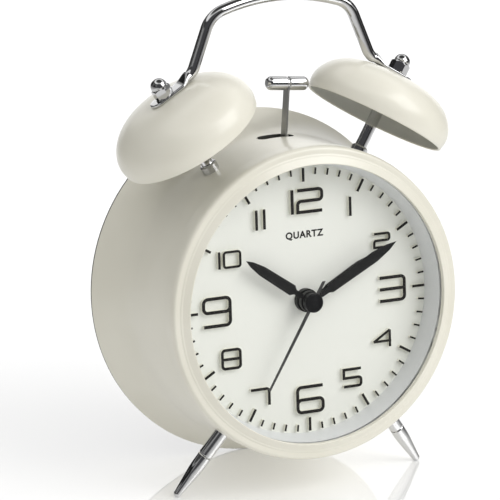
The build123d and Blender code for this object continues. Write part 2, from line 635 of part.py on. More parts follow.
def striker_bracket():
    """Steel plate on three pillars behind the movement; it carries the motor, the gear and the hammer."""
    outline = [(-12.6, -6.4), (22.4, -6.4), (22.4, 4), (8, 22.4), (-8, 22.4), (-12.4, 4)]
    plate = slab(make_face(Polyline(*outline, outline[0])), *BRACKET_Y)
    pillar_r = 1.5
    for foot in ((-10.6, -4.5), (20.2, -4.0), (-5.5, 20.4)):
        plate = plate + rod(pillar_r, MOVEMENT_BACK, BRACKET_Y[1], *foot)
    plate = plate + rod(PIN_R, STRIKER_GEAR_Y[0] + 0.05, BRACKET_Y[1], 0, STRIKER_Z)
    plate = plate - rod(PIN_R, BRACKET_Y[0] - 1, BRACKET_Y[1] + 1, 0, HAMMER_PIVOT_Z)
    plate = plate - rod(SHAFT_R + 0.9, BRACKET_Y[0] - 1, BRACKET_Y[1] + 1, *ALARM_AXIS)
    return plate - rod(1.2, BRACKET_Y[0] - 1, BRACKET_Y[1] + 1, MOTOR_X, STRIKER_Z)


def hammer_pin():
    head_y = LEVER_Y[1] - 3.9
    pin = rod(PIN_R, head_y, BRACKET_Y[1], 0, HAMMER_PIVOT_Z)
    collar = rod(1.8, LEVER_Y[1] + 0.3, LEVER_Y[1] + 1.3, 0, HAMMER_PIVOT_Z)
    return pin + collar


def striker_gear():
    """Large gear with a crank disc in front, whose pin rocks the hammer's lever."""
    wheel = gear(STRIKER_TEETH, STRIKER_MODULE, *STRIKER_GEAR_Y, (0, STRIKER_Z), 0, PIN_R + RUN)
    disc_y = STRIKER_GEAR_Y[0] - 0.7
    disc = rod(3.0, disc_y, STRIKER_GEAR_Y[0], 0, STRIKER_Z)
    return wheel + disc + rod(0.6, LEVER_Y[1] + CRANK_GAP, disc_y + 0.2, -CRANK_R, STRIKER_Z)


def striker_motor():
    can = rod(MOTOR_R, BRACKET_Y[1], MOTOR_BACK, MOTOR_X, STRIKER_Z)
    can = fillet(can.edges().sort_by(Axis.Y)[-1], 1.2)
    return can - rod(MOTOR_SHAFT_R + RUN, BRACKET_Y[1] - 1, MOTOR_BACK - 2, MOTOR_X, STRIKER_Z)


def motor_pinion():
    """Pinion on the motor's shaft."""
    phase = mate_phase(0, STRIKER_TEETH, MOTOR_TEETH, 0)
    pinion = gear(MOTOR_TEETH, STRIKER_MODULE, *STRIKER_GEAR_Y, (MOTOR_X, STRIKER_Z), phase)
    return pinion + rod(MOTOR_SHAFT_R, STRIKER_GEAR_Y[0] - 0.4, MOTOR_BACK - 2.2, MOTOR_X, STRIKER_Z)


HAMMER_SWING = Pos(0, HAMMER_Y, HAMMER_PIVOT_Z) * Rot(0, HAMMER_LEAN, 0)
HEAD_R = 2.25
HEAD_HALF = 7.2


def hammer_arm():
    """Spring-steel strip on a pivot tube, with a slotted lever below it. Drawn upright about its pivot."""
    strip_w, strip_t = 3.5, 0.5
    tube_r = 2.4
    strip = Pos(0, 0, (HAMMER_LENGTH + tube_r - 0.5) / 2) * Box(strip_t, strip_w, HAMMER_LENGTH - tube_r + 0.5)
    y0, y1 = LEVER_Y[0] - HAMMER_Y, LEVER_Y[1] - HAMMER_Y
    crank_z = STRIKER_Z - HAMMER_PIVOT_Z
    lever_end = crank_z - 3.0
    lever = block(-2.4, 2.4, y0, y1, lever_end, 0)
    lever = lever - Pos(0, (y0 + y1) / 2, crank_z) * Box(1.6, 4, 4.4)
    hub = tube(tube_r, PIN_R + RUN, -strip_w / 2, strip_w / 2)
    arm = (strip + lever + hub) - rod(PIN_R + RUN, -3, 3)
    return HAMMER_SWING * arm


def hammer_head():
    """Turned steel barrel across the arm, domed at both ends, with a groove round its middle."""
    dome = 0.9
    outline = [(0, -HEAD_HALF), (HEAD_R - dome, -HEAD_HALF), (HEAD_R, dome - HEAD_HALF), (HEAD_R, -0.5),
               (HEAD_R - 0.35, -0.25), (HEAD_R - 0.35, 0.25), (HEAD_R, 0.5), (HEAD_R, HEAD_HALF - dome),
               (HEAD_R - dome, HEAD_HALF), (0, HEAD_HALF)]
    barrel = Pos(0, 0, HAMMER_LENGTH) * Rot(0, 90, 0) * spindle(outline)
    slot = Pos(0, 0, HAMMER_LENGTH - 5) * Box(0.5, 3.5, 10)
    return HAMMER_SWING * (barrel - slot)


# ---------------------------------------------------------------- bells, posts and handle
CROWN_D = BELL_RIM_D + BELL_H
NUT_H = 6.2
NUT_ACROSS = 5.5


def bell(side):
    """Spun steel cup: nearly straight and slightly swelling wall, broad domed crown, hole for the stud."""
    swell = 0.45
    outer = Spline((BELL_R, 0), (BELL_R + swell, 3.2), (19.6, 11.2), (10.5, 15.0), (0, BELL_H),
                   tangents=((0.2, 1), (-1, 0)))
    inner = Spline((0, BELL_H - BELL_WALL), (10.3, 14.1), (18.9, 10.5), (BELL_R + swell - BELL_WALL, 3.0),
                   (BELL_R - BELL_WALL, 0), tangents=((1, 0), (-0.2, -1)))
    face = make_face(Curve() + [outer, Line(outer @ 1, inner @ 0), inner, Line(inner @ 1, outer @ 0)])
    cup = revolve(Plane.XZ * face, Axis.Z) - Cylinder(STUD_R + 0.1, 4 * BELL_H)
    return radial(side * BELL_ANGLE, BELL_Y) * Pos(0, 0, BELL_RIM_D) * cup


def bell_post(side):
    """Round post from the drum up to the bell's crown, reduced to a threaded stud at both ends."""
    seat = DRUM_FRONT_R
    shoulder = CROWN_D - BELL_WALL
    stud_top = CROWN_D + TAB_T + 4.2
    stud_bottom = 43.4
    profile = [(0, seat), (POST_R, seat), (POST_R, shoulder - 0.4), (STUD_R, shoulder - 0.1), (STUD_R, stud_top),
               (0, stud_top)]
    frame = radial(side * BELL_ANGLE, BELL_Y)
    lower_stud = frame * Pos(0, 0, (stud_bottom + seat + 1.2) / 2) * Cylinder(STUD_R, seat + 1.2 - stud_bottom)
    return (frame * spindle(profile) - DRUM_ENVELOPE) + lower_stud


def post_collars():
    """Bushes round the posts where they meet the drum."""
    foot_d, height, outer = DRUM_FRONT_R, 3.4, 2.75
    profile = [(POST_R, foot_d), (outer, foot_d), (outer, foot_d + height - 0.5), (outer - 0.5, foot_d + height),
               (POST_R, foot_d + height)]
    return [radial(side * BELL_ANGLE, BELL_Y) * spindle(profile) - DRUM_ENVELOPE for side in (1, -1)]


def cap_nuts():
    """Domed hexagon nuts that hold the handle's ends and the bells."""
    hex_h = 3.4
    dome_r = NUT_ACROSS / 2 - 0.05
    thread_h = 4.3
    corner = NUT_ACROSS / sqrt(3)
    hexagon = extrude(RegularPolygon(NUT_ACROSS / 2, 6, major_radius=False), hex_h)
    limit = spindle([(0, 0), (corner, 0), (corner, hex_h - 0.45), (dome_r, hex_h), (0, hex_h)])
    dome = Pos(0, 0, NUT_H - dome_r) * Sphere(dome_r)
    barrel = Pos(0, 0, (hex_h + NUT_H - dome_r) / 2 - 0.1) * Cylinder(dome_r, NUT_H - dome_r - hex_h + 0.4)
    lower = Pos(0, 0, -5) * Box(20, 20, 10)
    nut = (hexagon & limit) + (dome - lower) + (barrel - lower)
    nut = nut - Pos(0, 0, thread_h / 2) * Cylinder(STUD_R, thread_h)
    base = CROWN_D + TAB_T
    return [radial(side * BELL_ANGLE, BELL_Y) * Pos(0, 0, base) * nut for side in (1, -1)]


def carry_handle():
    """Round bar bent to a low arch; its ends are flattened into tabs that lie on the bells' crowns."""
    tab_mid = CROWN_D + TAB_T / 2
    outwards = (cos(radians(BELL_ANGLE)), -sin(radians(BELL_ANGLE)))
    seat = (tab_mid * sin(radians(BELL_ANGLE)), tab_mid * cos(radians(BELL_ANGLE)))
    inner_reach = 10.4
    knee = (seat[0] - inner_reach * outwards[0], seat[1] - inner_reach * outwards[1])
    start = (knee[0] + 2.6 * outwards[0], knee[1] + 2.6 * outwards[1])
    shoulder = (24.15, 90.6)
    crest = (0, 97.85)
    knee_r, shoulder_r, crest_r = 2.4, 9, 66
    right = [start, knee, shoulder]
    corners = right + [crest] + [(-x, z) for x, z in reversed(right)]
    path = FilletPolyline(*corners, radius=[knee_r, shoulder_r, crest_r, shoulder_r, knee_r])
    bar = sweep(Plane(path @ 0, z_dir=path % 0) * Circle(HANDLE_R), path)
    bar = Plane.XZ * bar
    tab_l, tab_w, outer_reach = 15.0, 6.2, 5.6
    hole = Cylinder(STUD_R + 0.1, 4)
    flat = extrude(SlotOverall(tab_l, tab_w), TAB_T)
    piece = Pos(0, BELL_Y, 0) * bar
    under = Pos(0, 0, -10) * Box(60, 20, 20)
    for side in (1, -1):
        frame = radial(side * BELL_ANGLE, BELL_Y) * Pos(0, 0, CROWN_D)
        piece = piece - frame * under
        piece = piece + frame * Pos(side * (outer_reach - tab_l / 2), 0, 0) * flat - frame * hole
    return piece


# ---------------------------------------------------------------- feet
def foot_frame(side):
    """Frame at the root of a foot with +Z down along it: splayed sideways and slightly backwards."""
    out = (side * sin(radians(FOOT_ANGLE)), -cos(radians(FOOT_ANGLE)))
    root = Vector(FOOT_TOP_D * out[0], FOOT_TOP_Y, FOOT_TOP_D * out[1])
    tip = Vector(FOOT_TIP_D * out[0], FOOT_TIP_Y, FOOT_TIP_D * out[1])
    return Plane(origin=root, z_dir=tip - root).location


FOOT_L = sqrt((FOOT_TIP_D - FOOT_TOP_D) ** 2 + (FOOT_TIP_Y - FOOT_TOP_Y) ** 2)


def foot(side):
    """Turned foot: cylinder with a grooved collar, then a long taper to a small ball end."""
    groove = 0.36 * FOOT_L
    taper = 0.55 * FOOT_L
    body = spindle([
        (0, -0.8), (FOOT_R, -0.8), (FOOT_R, groove - 0.25), (FOOT_R - 0.3, groove), (FOOT_R, groove + 0.25),
        (FOOT_R, taper), (FOOT_END_R + 0.02, FOOT_L - FOOT_END_R - 0.2), (0, FOOT_L - FOOT_END_R - 0.2),
    ])
    ball = Pos(0, 0, FOOT_L - FOOT_END_R) * Sphere(FOOT_END_R)
    stud = Pos(0, 0, -1.7) * Cylinder(STUD_R, 5.4)
    frame = foot_frame(side)
    return (frame * (body + ball) - DRUM_ENVELOPE) + frame * stud


def case_nuts():
    """Hexagon nuts inside the drum, on the studs of the posts and of the feet."""
    nut = hex_nut(5.0, 2.0, STUD_R)
    nuts = []
    for side in (1, -1):
        nuts.append(radial(side * BELL_ANGLE, BELL_Y) * Pos(0, 0, 45.6) * nut)
        nuts.append(foot_frame(side) * Pos(0, 0, -4.1) * Rot(180, 0, 0) * Pos(0, 0, -2.0) * nut)
    return nuts


# ---------------------------------------------------------------- back cover and battery bay
TRAY_X = 28.2
TRAY_Z = (-37.4, -8.6)
TRAY_FRONT = 23.6
TRAY_T = 1.2
PLUG_R = 53.6
DOOR_T = 1.4
COVER_FRONT = RIM_Y - 0.7
COVER_BACK = RIM_Y + COVER_T
DOOR_X = 29.8
DOOR_Z = (-38.6, -7.4)
SWITCH_X, SWITCH_Z, SWITCH_TRAVEL = -30.0, 12.0, 5.0
LIGHT_X, LIGHT_Z, LIGHT_R = 27.0, 12.0, 4.0


def back_cover():
    """Moulded back with the battery tray, openings for knobs, slide switch and button, and four screw holes."""
    edge_r = RIM_R - 0.12
    chamfer = 0.4
    cover = lathe([(0, COVER_FRONT), (PLUG_R, COVER_FRONT), (PLUG_R, RIM_Y), (edge_r, RIM_Y),
                   (edge_r, COVER_BACK - chamfer), (edge_r - chamfer, COVER_BACK), (0, COVER_BACK)])
    out = TRAY_T
    cover = cover + block(-TRAY_X - out, TRAY_X + out, TRAY_FRONT - out, RIM_Y, TRAY_Z[0] - out, TRAY_Z[1] + out)
    cradle = block(LIGHT_X - 6.4, LIGHT_X + 6.4, 30.3, RIM_Y, LIGHT_Z - 3, LIGHT_Z + 3)
    cover = cover + (cradle - block(LIGHT_X - 5.2, LIGHT_X + 5.2, 31.5, COVER_FRONT, LIGHT_Z - 4, LIGHT_Z + 4))
    cover = cover - block(-TRAY_X, TRAY_X, TRAY_FRONT, COVER_BACK + 1, *TRAY_Z)
    cover = cover - block(-DOOR_X, DOOR_X, COVER_BACK - DOOR_T, COVER_BACK + 1, *DOOR_Z)
    for axis in (TIME_SET_AXIS, ALARM_AXIS):
        cover = cover - rod(SHAFT_R + RUN, 30, 50, *axis)
    cover = cover - rod(LIGHT_R + 0.1, 30, 50, LIGHT_X, LIGHT_Z)
    slot_z = (SWITCH_Z - 2.2, SWITCH_Z + 2.2 + SWITCH_TRAVEL)
    cover = cover - block(SWITCH_X - 1.7, SWITCH_X + 1.7, 30, 50, *slot_z)
    for angle in COVER_SCREW_ANGLES:
        x, z = polar(COVER_SCREW_R, 90 - angle)
        cover = cover - rod(1.4, 30, 50, x, z) - rod(2.6, COVER_BACK - 0.8, 50, x, z)
    return cover


def battery_door():
    """Lid of the battery tray with a finger catch; it tips out about its lower outer edge."""
    gap = 0.25
    lid = block(-DOOR_X + gap, DOOR_X - gap, COVER_BACK - DOOR_T + 0.05, COVER_BACK,
                DOOR_Z[0] + gap, DOOR_Z[1] - gap)
    groove = Pos(0, COVER_BACK, DOOR_Z[1] - 5) * Rot(0, 90, 0) * Cylinder(0.5, 12)
    for line in range(3):
        lid = lid - Pos(0, 0, -1.8 * line) * groove
    return lid


CELL_Y = TRAY_FRONT + CELL_R + 0.2
CELL_Z = (TRAY_Z[1] - CELL_R - 0.1, TRAY_Z[0] + CELL_R + 0.1)
CELL_START = -23.6


def battery_cells():
    """Two AA cells lying side by side, head to tail."""
    cells = []
    for z, way in zip(CELL_Z, (1, -1)):
        shape = spindle([(0, CELL_START), (CELL_R - 0.4, CELL_START), (CELL_R, CELL_START + 0.4),
                         (CELL_R, CELL_START + CELL_L - 0.5), (CELL_R - 0.5, CELL_START + CELL_L),
                         (2.7, CELL_START + CELL_L), (2.7, CELL_START + CELL_L + 1.0),
                         (0, CELL_START + CELL_L + 1.0)])
        cells.append(Pos(0, CELL_Y, z) * Rot(0, 90 * way, 0) * shape)
    return cells


PLATE_T = 0.4


def battery_springs():
    """Coiled spring contacts at the cells' flat ends."""
    length = CELL_START + TRAY_X - PLATE_T
    wire = 0.3
    coil_r = 3.2
    turns = 3
    springs = []
    for z, way in zip(CELL_Z, (1, -1)):
        rise = length - 2 * wire - 0.1
        helix = Helix(pitch=rise / turns, height=rise, radius=coil_r)
        coil = sweep(Plane(helix @ 0, z_dir=helix % 0) * Circle(wire), helix, is_frenet=True)
        place = Pos(0, CELL_Y, z) * Rot(0, 90 * way, 0) * Pos(0, 0, -TRAY_X + PLATE_T + wire + 0.02)
        springs.append(place * coil)
    return springs


def battery_contacts():
    """Nickel strips at both ends of the tray; the ones that meet the cells' tips are dished."""
    strips = []
    for z, way in zip(CELL_Z, (1, -1)):
        flat = Pos(0, 0, -TRAY_X + PLATE_T / 2) * Box(9, 9, PLATE_T)
        dished = Pos(0, 0, TRAY_X - PLATE_T / 2) * Box(9, 9, PLATE_T)
        tip = CELL_START + CELL_L + 1.05
        dished = dished + Pos(0, 0, (TRAY_X - PLATE_T + tip) / 2) * Cylinder(2.2, TRAY_X - PLATE_T - tip)
        place = Pos(0, CELL_Y, z) * Rot(0, 90 * way, 0)
        strips += [place * flat, place * dished]
    return strips


def alarm_switch():
    """Sliding button of the alarm on/off switch, down in its off place."""
    nub = block(SWITCH_X - 1.5, SWITCH_X + 1.5, COVER_FRONT - 1.4, COVER_BACK + 2.2, SWITCH_Z - 2, SWITCH_Z + 2)
    plate = block(SWITCH_X - 3, SWITCH_X + 3, COVER_FRONT - 1.4, COVER_FRONT - 0.3, SWITCH_Z - 4, SWITCH_Z + 4)
    slider = nub + plate
    for line in (-1.0, 0, 1.0):
        slider = slider - Pos(SWITCH_X, COVER_BACK + 2.2, SWITCH_Z + line) * Rot(0, 90, 0) * Cylinder(0.25, 4)
    return slider


def alarm_switch_body():
    """Fixed housing of the slide switch, on the inside of the back cover."""
    body = block(SWITCH_X - 4, SWITCH_X + 4, 33.5, COVER_FRONT - 1.7, SWITCH_Z - 6, SWITCH_Z + 6 + SWITCH_TRAVEL)
    cheeks = block(SWITCH_X - 4, SWITCH_X + 4, 33.5, COVER_FRONT, SWITCH_Z - 6, SWITCH_Z + 6 + SWITCH_TRAVEL)
    room = block(SWITCH_X - 3.2, SWITCH_X + 3.2, COVER_FRONT - 1.7, 50, SWITCH_Z - 7, SWITCH_Z + 7 + SWITCH_TRAVEL)
    return body + (cheeks - room)


def light_button():
    """Push button for the dial lamp, kept in by its flange."""
    cap = rod(LIGHT_R, COVER_FRONT - 0.6, COVER_BACK + 2.0, LIGHT_X, LIGHT_Z)
    cap = fillet(cap.edges().sort_by(Axis.Y)[-1], 0.7)
    return cap + rod(LIGHT_R + 1.0, COVER_FRONT - 1.4, COVER_FRONT - 0.1, LIGHT_X, LIGHT_Z)


def light_switch():
    """Small key switch behind the button; its plunger stops the button's travel."""
    base = block(LIGHT_X - 3, LIGHT_X + 3, 31.5, 35.0, LIGHT_Z - 3, LIGHT_Z + 3)
    return base + rod(1.75, 34.8, COVER_FRONT - 2.8, LIGHT_X, LIGHT_Z)


def cover_screws():
    """Four countersunk screws into the drum's lugs."""
    screws = []
    for angle in COVER_SCREW_ANGLES:
        x, z = polar(COVER_SCREW_R, 90 - angle)
        head = rod(2.4, COVER_BACK - 0.8, COVER_BACK - 0.05, x, z)
        shank = rod(1.2, 34.5, COVER_BACK - 0.7, x, z)
        cross = (block(x - 1.3, x + 1.3, COVER_BACK - 0.45, COVER_BACK + 1, z - 0.25, z + 0.25)
                 + block(x - 0.25, x + 0.25, COVER_BACK - 0.45, COVER_BACK + 1, z - 1.3, z + 1.3))
        screws.append(head + shank - cross)
    return screws


# ---------------------------------------------------------------- standing the clock up
def lean_angle():
    """Tilt at which both ball ends and the rear rim touch the ground."""
    ball_d = FOOT_TIP_D - FOOT_END_R * (FOOT_TIP_D - FOOT_TOP_D) / FOOT_L
    ball_y = FOOT_TIP_Y - FOOT_END_R * (FOOT_TIP_Y - FOOT_TOP_Y) / FOOT_L
    ball_z = -ball_d * cos(radians(FOOT_ANGLE))
    run = RIM_Y - ball_y
    drop = -RIM_R - ball_z
    reach = sqrt(run ** 2 + drop ** 2)
    return degrees(atan2(drop, run) + asin((FOOT_END_R - FOOT_PAD) / reach))


LEAN = lean_angle()
GROUND = RIM_R * cos(radians(LEAN)) + RIM_Y * sin(radians(LEAN))

NODES = {
    "case_drum": case_drum(),
    "front_bezel": front_bezel(),
    "lens": lens(),
    "dial_ring": dial_ring(),
    "dial_lamp": dial_lamp(),
    "dial_plate": dial_plate(),
    "hour_numerals": hour_numerals(),
    "minute_marks": minute_marks(),
    "dial_nut": dial_nut(),
    "hour_hand": hour_hand(),
    "minute_hand": minute_hand(),
    "second_hand": second_hand(),
    "alarm_hand": alarm_hand(),
    "movement_front_shell": movement_front_shell(),
    "movement_rear_shell": movement_rear_shell(),
    "movement_middle_plate": middle_plate(),
    "movement_screws": movement_screws(),
    "hour_wheel": hour_wheel(),
    "minute_wheel": minute_wheel(),
    "cannon_pinion": cannon_pinion(),
    "alarm_wheel": alarm_wheel(),
    "centre_wheel": centre_wheel(),
    "third_wheel": third_wheel(),
    "second_wheel": second_wheel(),
    "drive_wheel": drive_wheel(),
    "stepper_rotor": stepper_rotor(),
    "stepper_stator": stepper_stator(),
    "stepper_coil": stepper_coil(),
    "circuit_board": circuit_board(),
    "time_set_shaft": time_set_shaft(),
    "time_set_knob": set_knob(TIME_SET_AXIS),
    "alarm_set_shaft": alarm_set_shaft(),
    "alarm_set_knob": set_knob(ALARM_AXIS),
    "striker_bracket": striker_bracket(),
    "hammer_pin": hammer_pin(),
    "striker_gear": striker_gear(),
    "striker_motor": striker_motor(),
    "motor_pinion": motor_pinion(),
    "hammer_arm": hammer_arm(),
    "hammer_head": hammer_head(),
    "bell_right": bell(1),
    "bell_left": bell(-1),
    "bell_post_right": bell_post(1),
    "bell_post_left": bell_post(-1),
    "post_collars": post_collars(),
    "cap_nuts": cap_nuts(),
    "carry_handle": carry_handle(),
    "foot_right": foot(1),
    "foot_left": foot(-1),
    "case_nuts": case_nuts(),
    "back_cover": back_cover(),
    "battery_door": battery_door(),
    "battery_cells": battery_cells(),
    "battery_springs": battery_springs(),
    "battery_contacts": battery_contacts(),
    "alarm_switch": alarm_switch(),
    "alarm_switch_body": alarm_switch_body(),
    "light_button": light_button(),
    "light_switch": light_switch(),
    "cover_screws": cover_screws(),
}


def stood(piece, back_shift):
    """A piece tilted back with the clock, lifted on to the ground and centred front to back."""
    whole = Compound(piece) if isinstance(piece, list) else piece
    return Pos(0, back_shift, GROUND) * Rot(-LEAN, 0, 0) * whole


boxes = [stood(piece, 0).bounding_box() for piece in NODES.values()]
BACK_SHIFT = -(min(box.min.Y for box in boxes) + max(box.max.Y for box in boxes)) / 2
UNDERGROUND = Pos(0, 0, -10) * Box(300, 300, 20)

for name, piece in NODES.items():
    solid = stood(piece, BACK_SHIFT)
    if name.startswith("foot_"):
        solid = solid - UNDERGROUND
    export_step(solid, f"parts/{name}.step")
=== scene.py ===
import json
from math import atan2, cos, pi, radians, sin, sqrt, tan

import bmesh
import bpy
import numpy as np
from mathutils import Matrix, Vector


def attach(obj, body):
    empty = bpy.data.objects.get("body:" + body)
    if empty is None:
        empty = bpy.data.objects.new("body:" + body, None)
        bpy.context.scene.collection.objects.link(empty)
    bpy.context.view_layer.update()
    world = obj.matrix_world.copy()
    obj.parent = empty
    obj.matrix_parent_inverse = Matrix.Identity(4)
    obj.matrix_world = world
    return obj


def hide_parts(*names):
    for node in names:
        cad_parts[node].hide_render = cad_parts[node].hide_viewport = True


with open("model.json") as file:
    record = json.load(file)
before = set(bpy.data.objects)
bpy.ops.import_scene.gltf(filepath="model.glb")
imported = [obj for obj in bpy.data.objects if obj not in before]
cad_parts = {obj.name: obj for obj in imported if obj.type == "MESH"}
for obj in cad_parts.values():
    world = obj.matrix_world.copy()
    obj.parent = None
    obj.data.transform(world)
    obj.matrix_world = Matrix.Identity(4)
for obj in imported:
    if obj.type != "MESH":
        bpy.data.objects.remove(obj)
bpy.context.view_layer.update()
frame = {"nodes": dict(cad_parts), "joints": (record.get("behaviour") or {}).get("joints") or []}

nodes = frame["nodes"]

# ---------------------------------------------------------------- case drum
# A steel cup pressed to a drum, flared towards its rear rim and stove-enamelled in warm cream. A rounded slot
# in its top lets the hammer through. Everything is drawn in the dial's own frame, in millimetres: X to the
# reader's right, Y into the case, Z to twelve; the clock leans, so that frame is taken from the hands' joint.
hands_joint = next(j for j in frame["joints"] if j["name"] == "minute_hand_turn")
into_case = Vector(hands_joint["axis"])
to_twelve = Vector((1, 0, 0)).cross(into_case)
JOINT_DEPTH = 0.010
dial_centre = Vector(hands_joint["pos_m"]) - JOINT_DEPTH * into_case
CLOCK = Matrix.Translation(dial_centre) @ Matrix((
    (1, into_case.x, to_twelve.x), (0, into_case.y, to_twelve.y), (0, into_case.z, to_twelve.z),
)).to_4x4() @ Matrix.Scale(0.001, 4)
ALONG_Y = CLOCK @ Matrix.Rotation(-pi / 2, 4, "X")


def place_radially(angle, y, distance):
    """Frame whose Z runs outwards from the dial's axis, at an angle from twelve o'clock towards three."""
    outwards = Matrix.Rotation(radians(angle), 4, "Y")
    return CLOCK @ Matrix.Translation((0, y, 0)) @ outwards @ Matrix.Translation((0, 0, distance))


def eased(corners, steps=6):
    """Section line through (radius, height, rounding) corners, the rounded ones drawn as small arcs."""
    line = []
    last = len(corners) - 1
    for i, (r, h, rounding) in enumerate(corners):
        here = Vector((r, h))
        if not rounding or i in (0, last):
            line.append(here)
            continue
        before = Vector(corners[i - 1][:2]) - here
        after = Vector(corners[i + 1][:2]) - here
        a = here + before.normalized() * min(rounding, before.length * 0.49)
        b = here + after.normalized() * min(rounding, after.length * 0.49)
        line += [a.lerp(here, t / steps).lerp(here.lerp(b, t / steps), t / steps) for t in range(steps + 1)]
    return [tuple(p) for p in line]


def add_piece(name, bm, place, sharp=40):
    """Turns drawn geometry into a smooth-shaded object of the scene."""
    bmesh.ops.recalc_face_normals(bm, faces=bm.faces[:])
    mesh = bpy.data.meshes.new(name)
    bm.to_mesh(mesh)
    bm.free()
    mesh.transform(place)
    mesh.shade_smooth()
    mesh.set_sharp_from_angle(angle=radians(sharp))
    piece = bpy.data.objects.new(name, mesh)
    bpy.context.scene.collection.objects.link(piece)
    return piece


def skin(bm, line, around=160, radius_at=None):
    """Surface turned about Z from a section line. A closed section never touches the axis."""
    rings = []
    for r, h in line:
        if r < 1e-6:
            rings.append([bm.verts.new((0, 0, h))])
            continue
        ring = []
        for i in range(around):
            turn = 2 * pi * i / around
            here = min(r, radius_at(turn)) if radius_at else r
            ring.append(bm.verts.new((here * cos(turn), here * sin(turn), h)))
        rings.append(ring)
    closed = len(rings[0]) > 1 and len(rings[-1]) > 1
    pairs = list(zip(rings, rings[1:])) + ([(rings[-1], rings[0])] if closed else [])
    for a, b in pairs:
        for i in range(around):
            j = (i + 1) % around
            if len(a) == 1:
                bm.faces.new((a[0], b[i], b[j]))
            elif len(b) == 1:
                bm.faces.new((a[i], b[0], a[j]))
            else:
                bm.faces.new((a[i], b[i], b[j], a[j]))


def turn_piece(name, line, place, around=160, sharp=40, radius_at=None):
    bm = bmesh.new()
    skin(bm, line, around, radius_at)
    return add_piece(name, bm, place, sharp)


class Flow:
    """A value on its way through a material. Sums and products of it add the Math nodes."""

    def __init__(self, tree, socket=None):
        self.tree = tree
        self.socket = socket

    def node(self, kind, sockets=None, out=0, stops=None, **settings):
        made = self.tree.nodes.new(kind)
        for key, value in settings.items():
            setattr(made, key, value)
        if stops:
            ramp = made.color_ramp.elements
            while len(ramp) < len(stops):
                ramp.new(1.0)
            for stop, (at, colour) in zip(ramp, stops):
                stop.position = at
                stop.color = (*colour, 1.0)
        for key, value in (sockets or {}).items():
            if isinstance(value, Flow):
                self.tree.links.new(value.socket, made.inputs[key])
            else:
                made.inputs[key].default_value = value
        return Flow(self.tree, made.outputs[out])

    def _sum(self, operation, a, b):
        return self.node("ShaderNodeMath", {0: a, 1: b}, operation=operation)

    def __add__(self, other):
        return self._sum("ADD", self, other)

    def __radd__(self, other):
        return self._sum("ADD", other, self)

    def __sub__(self, other):
        return self._sum("SUBTRACT", self, other)

    def __rsub__(self, other):
        return self._sum("SUBTRACT", other, self)

    def __mul__(self, other):
        return self._sum("MULTIPLY", self, other)

    def __rmul__(self, other):
        return self._sum("MULTIPLY", other, self)

    def sine(self):
        return self.node("ShaderNodeMath", {0: self}, operation="SINE")

    def between(self, low, high):
        """Smooth step from 0 at low to 1 at high."""
        return self.node("ShaderNodeMapRange", {"Value": self, "From Min": low, "From Max": high},
                         interpolation_type="SMOOTHSTEP")

    def tint(self, off, on):
        """Colour off where this is 0 and on where it is 1."""
        return self.node("ShaderNodeMix", {"Factor": self, "A": off, "B": on}, out=2, data_type="RGBA")

    def noise(self, scale, detail=3.0, stretch=(1, 1, 1)):
        """Cloudy value about 0.5; scale is in clouds per metre."""
        where = self.node("ShaderNodeTexCoord", out=3)
        if stretch != (1, 1, 1):
            where = self.node("ShaderNodeMapping", {"Vector": where, "Scale": stretch})
        return self.node("ShaderNodeTexNoise", {"Vector": where, "Scale": scale, "Detail": detail})

    def bump(self, depth, strength=1.0):
        """Relief of that depth in metres."""
        return self.node("ShaderNodeBump", {"Height": self, "Distance": depth, "Strength": strength})


def make_finish(name, vary, **uniform):
    """Material from a Principled shader: uniform values on its sockets, vary() gives what changes."""
    made = bpy.data.materials.new(name)
    made.use_nodes = True
    shader = made.node_tree.nodes["Principled BSDF"]
    for key, value in uniform.items():
        shader.inputs[key.replace("_", " ")].default_value = value
    for key, value in vary(Flow(made.node_tree)).items():
        if isinstance(value, Flow):
            made.node_tree.links.new(value.socket, shader.inputs[key])
        else:
            shader.inputs[key].default_value = value
    return made


def enamel(flow):
    """Sprayed and baked gloss paint: faint clouding, orange peel and a few specks of dust."""
    cloud = flow.noise(45, 2)
    peel = flow.noise(620, 2)
    specks = flow.noise(2600, 1).between(0.80, 0.84)
    colour = cloud.between(0.3, 0.7).tint((0.80, 0.775, 0.665, 1), (0.835, 0.81, 0.705, 1))
    return {
        "Base Color": (specks * 0.25).tint(colour, (0.55, 0.52, 0.44, 1)),
        "Roughness": 0.30 + 0.12 * peel,
        "Normal": (peel + 0.4 * specks).bump(0.000010, 0.5),
    }


cream_enamel = make_finish("cream_enamel", enamel, Coat_Weight=0.32, Coat_Roughness=0.13, IOR=1.5)

DRUM_FRONT, DRUM_WAIST, DRUM_RIM = (48.7, -4.8), (49.7, 20.0), (55.9, 40.3)
DRUM_WALL = 1.0
flare_length = DRUM_RIM[1] - DRUM_WAIST[1]
flare_rise = DRUM_RIM[0] - DRUM_WAIST[0]
flare_radius = (flare_length ** 2 + flare_rise ** 2) / (2 * flare_rise)
flare_turn = 2 * atan2(flare_rise, flare_length)


def drum_wall(inset):
    """Front edge, straight waist and flare of the drum, this far inside its painted face."""
    centre = DRUM_WAIST[0] + flare_radius
    front = [(DRUM_FRONT[0] - inset + t / 16, DRUM_FRONT[1] + t / 16 * (DRUM_WAIST[1] - DRUM_FRONT[1]))
             for t in range(16)]
    radius = flare_radius + inset
    arc = [(centre - radius * cos(flare_turn * t / 24), DRUM_WAIST[1] + radius * sin(flare_turn * t / 24))
           for t in range(25)]
    return front + [p for p in arc if p[1] <= DRUM_RIM[1]]


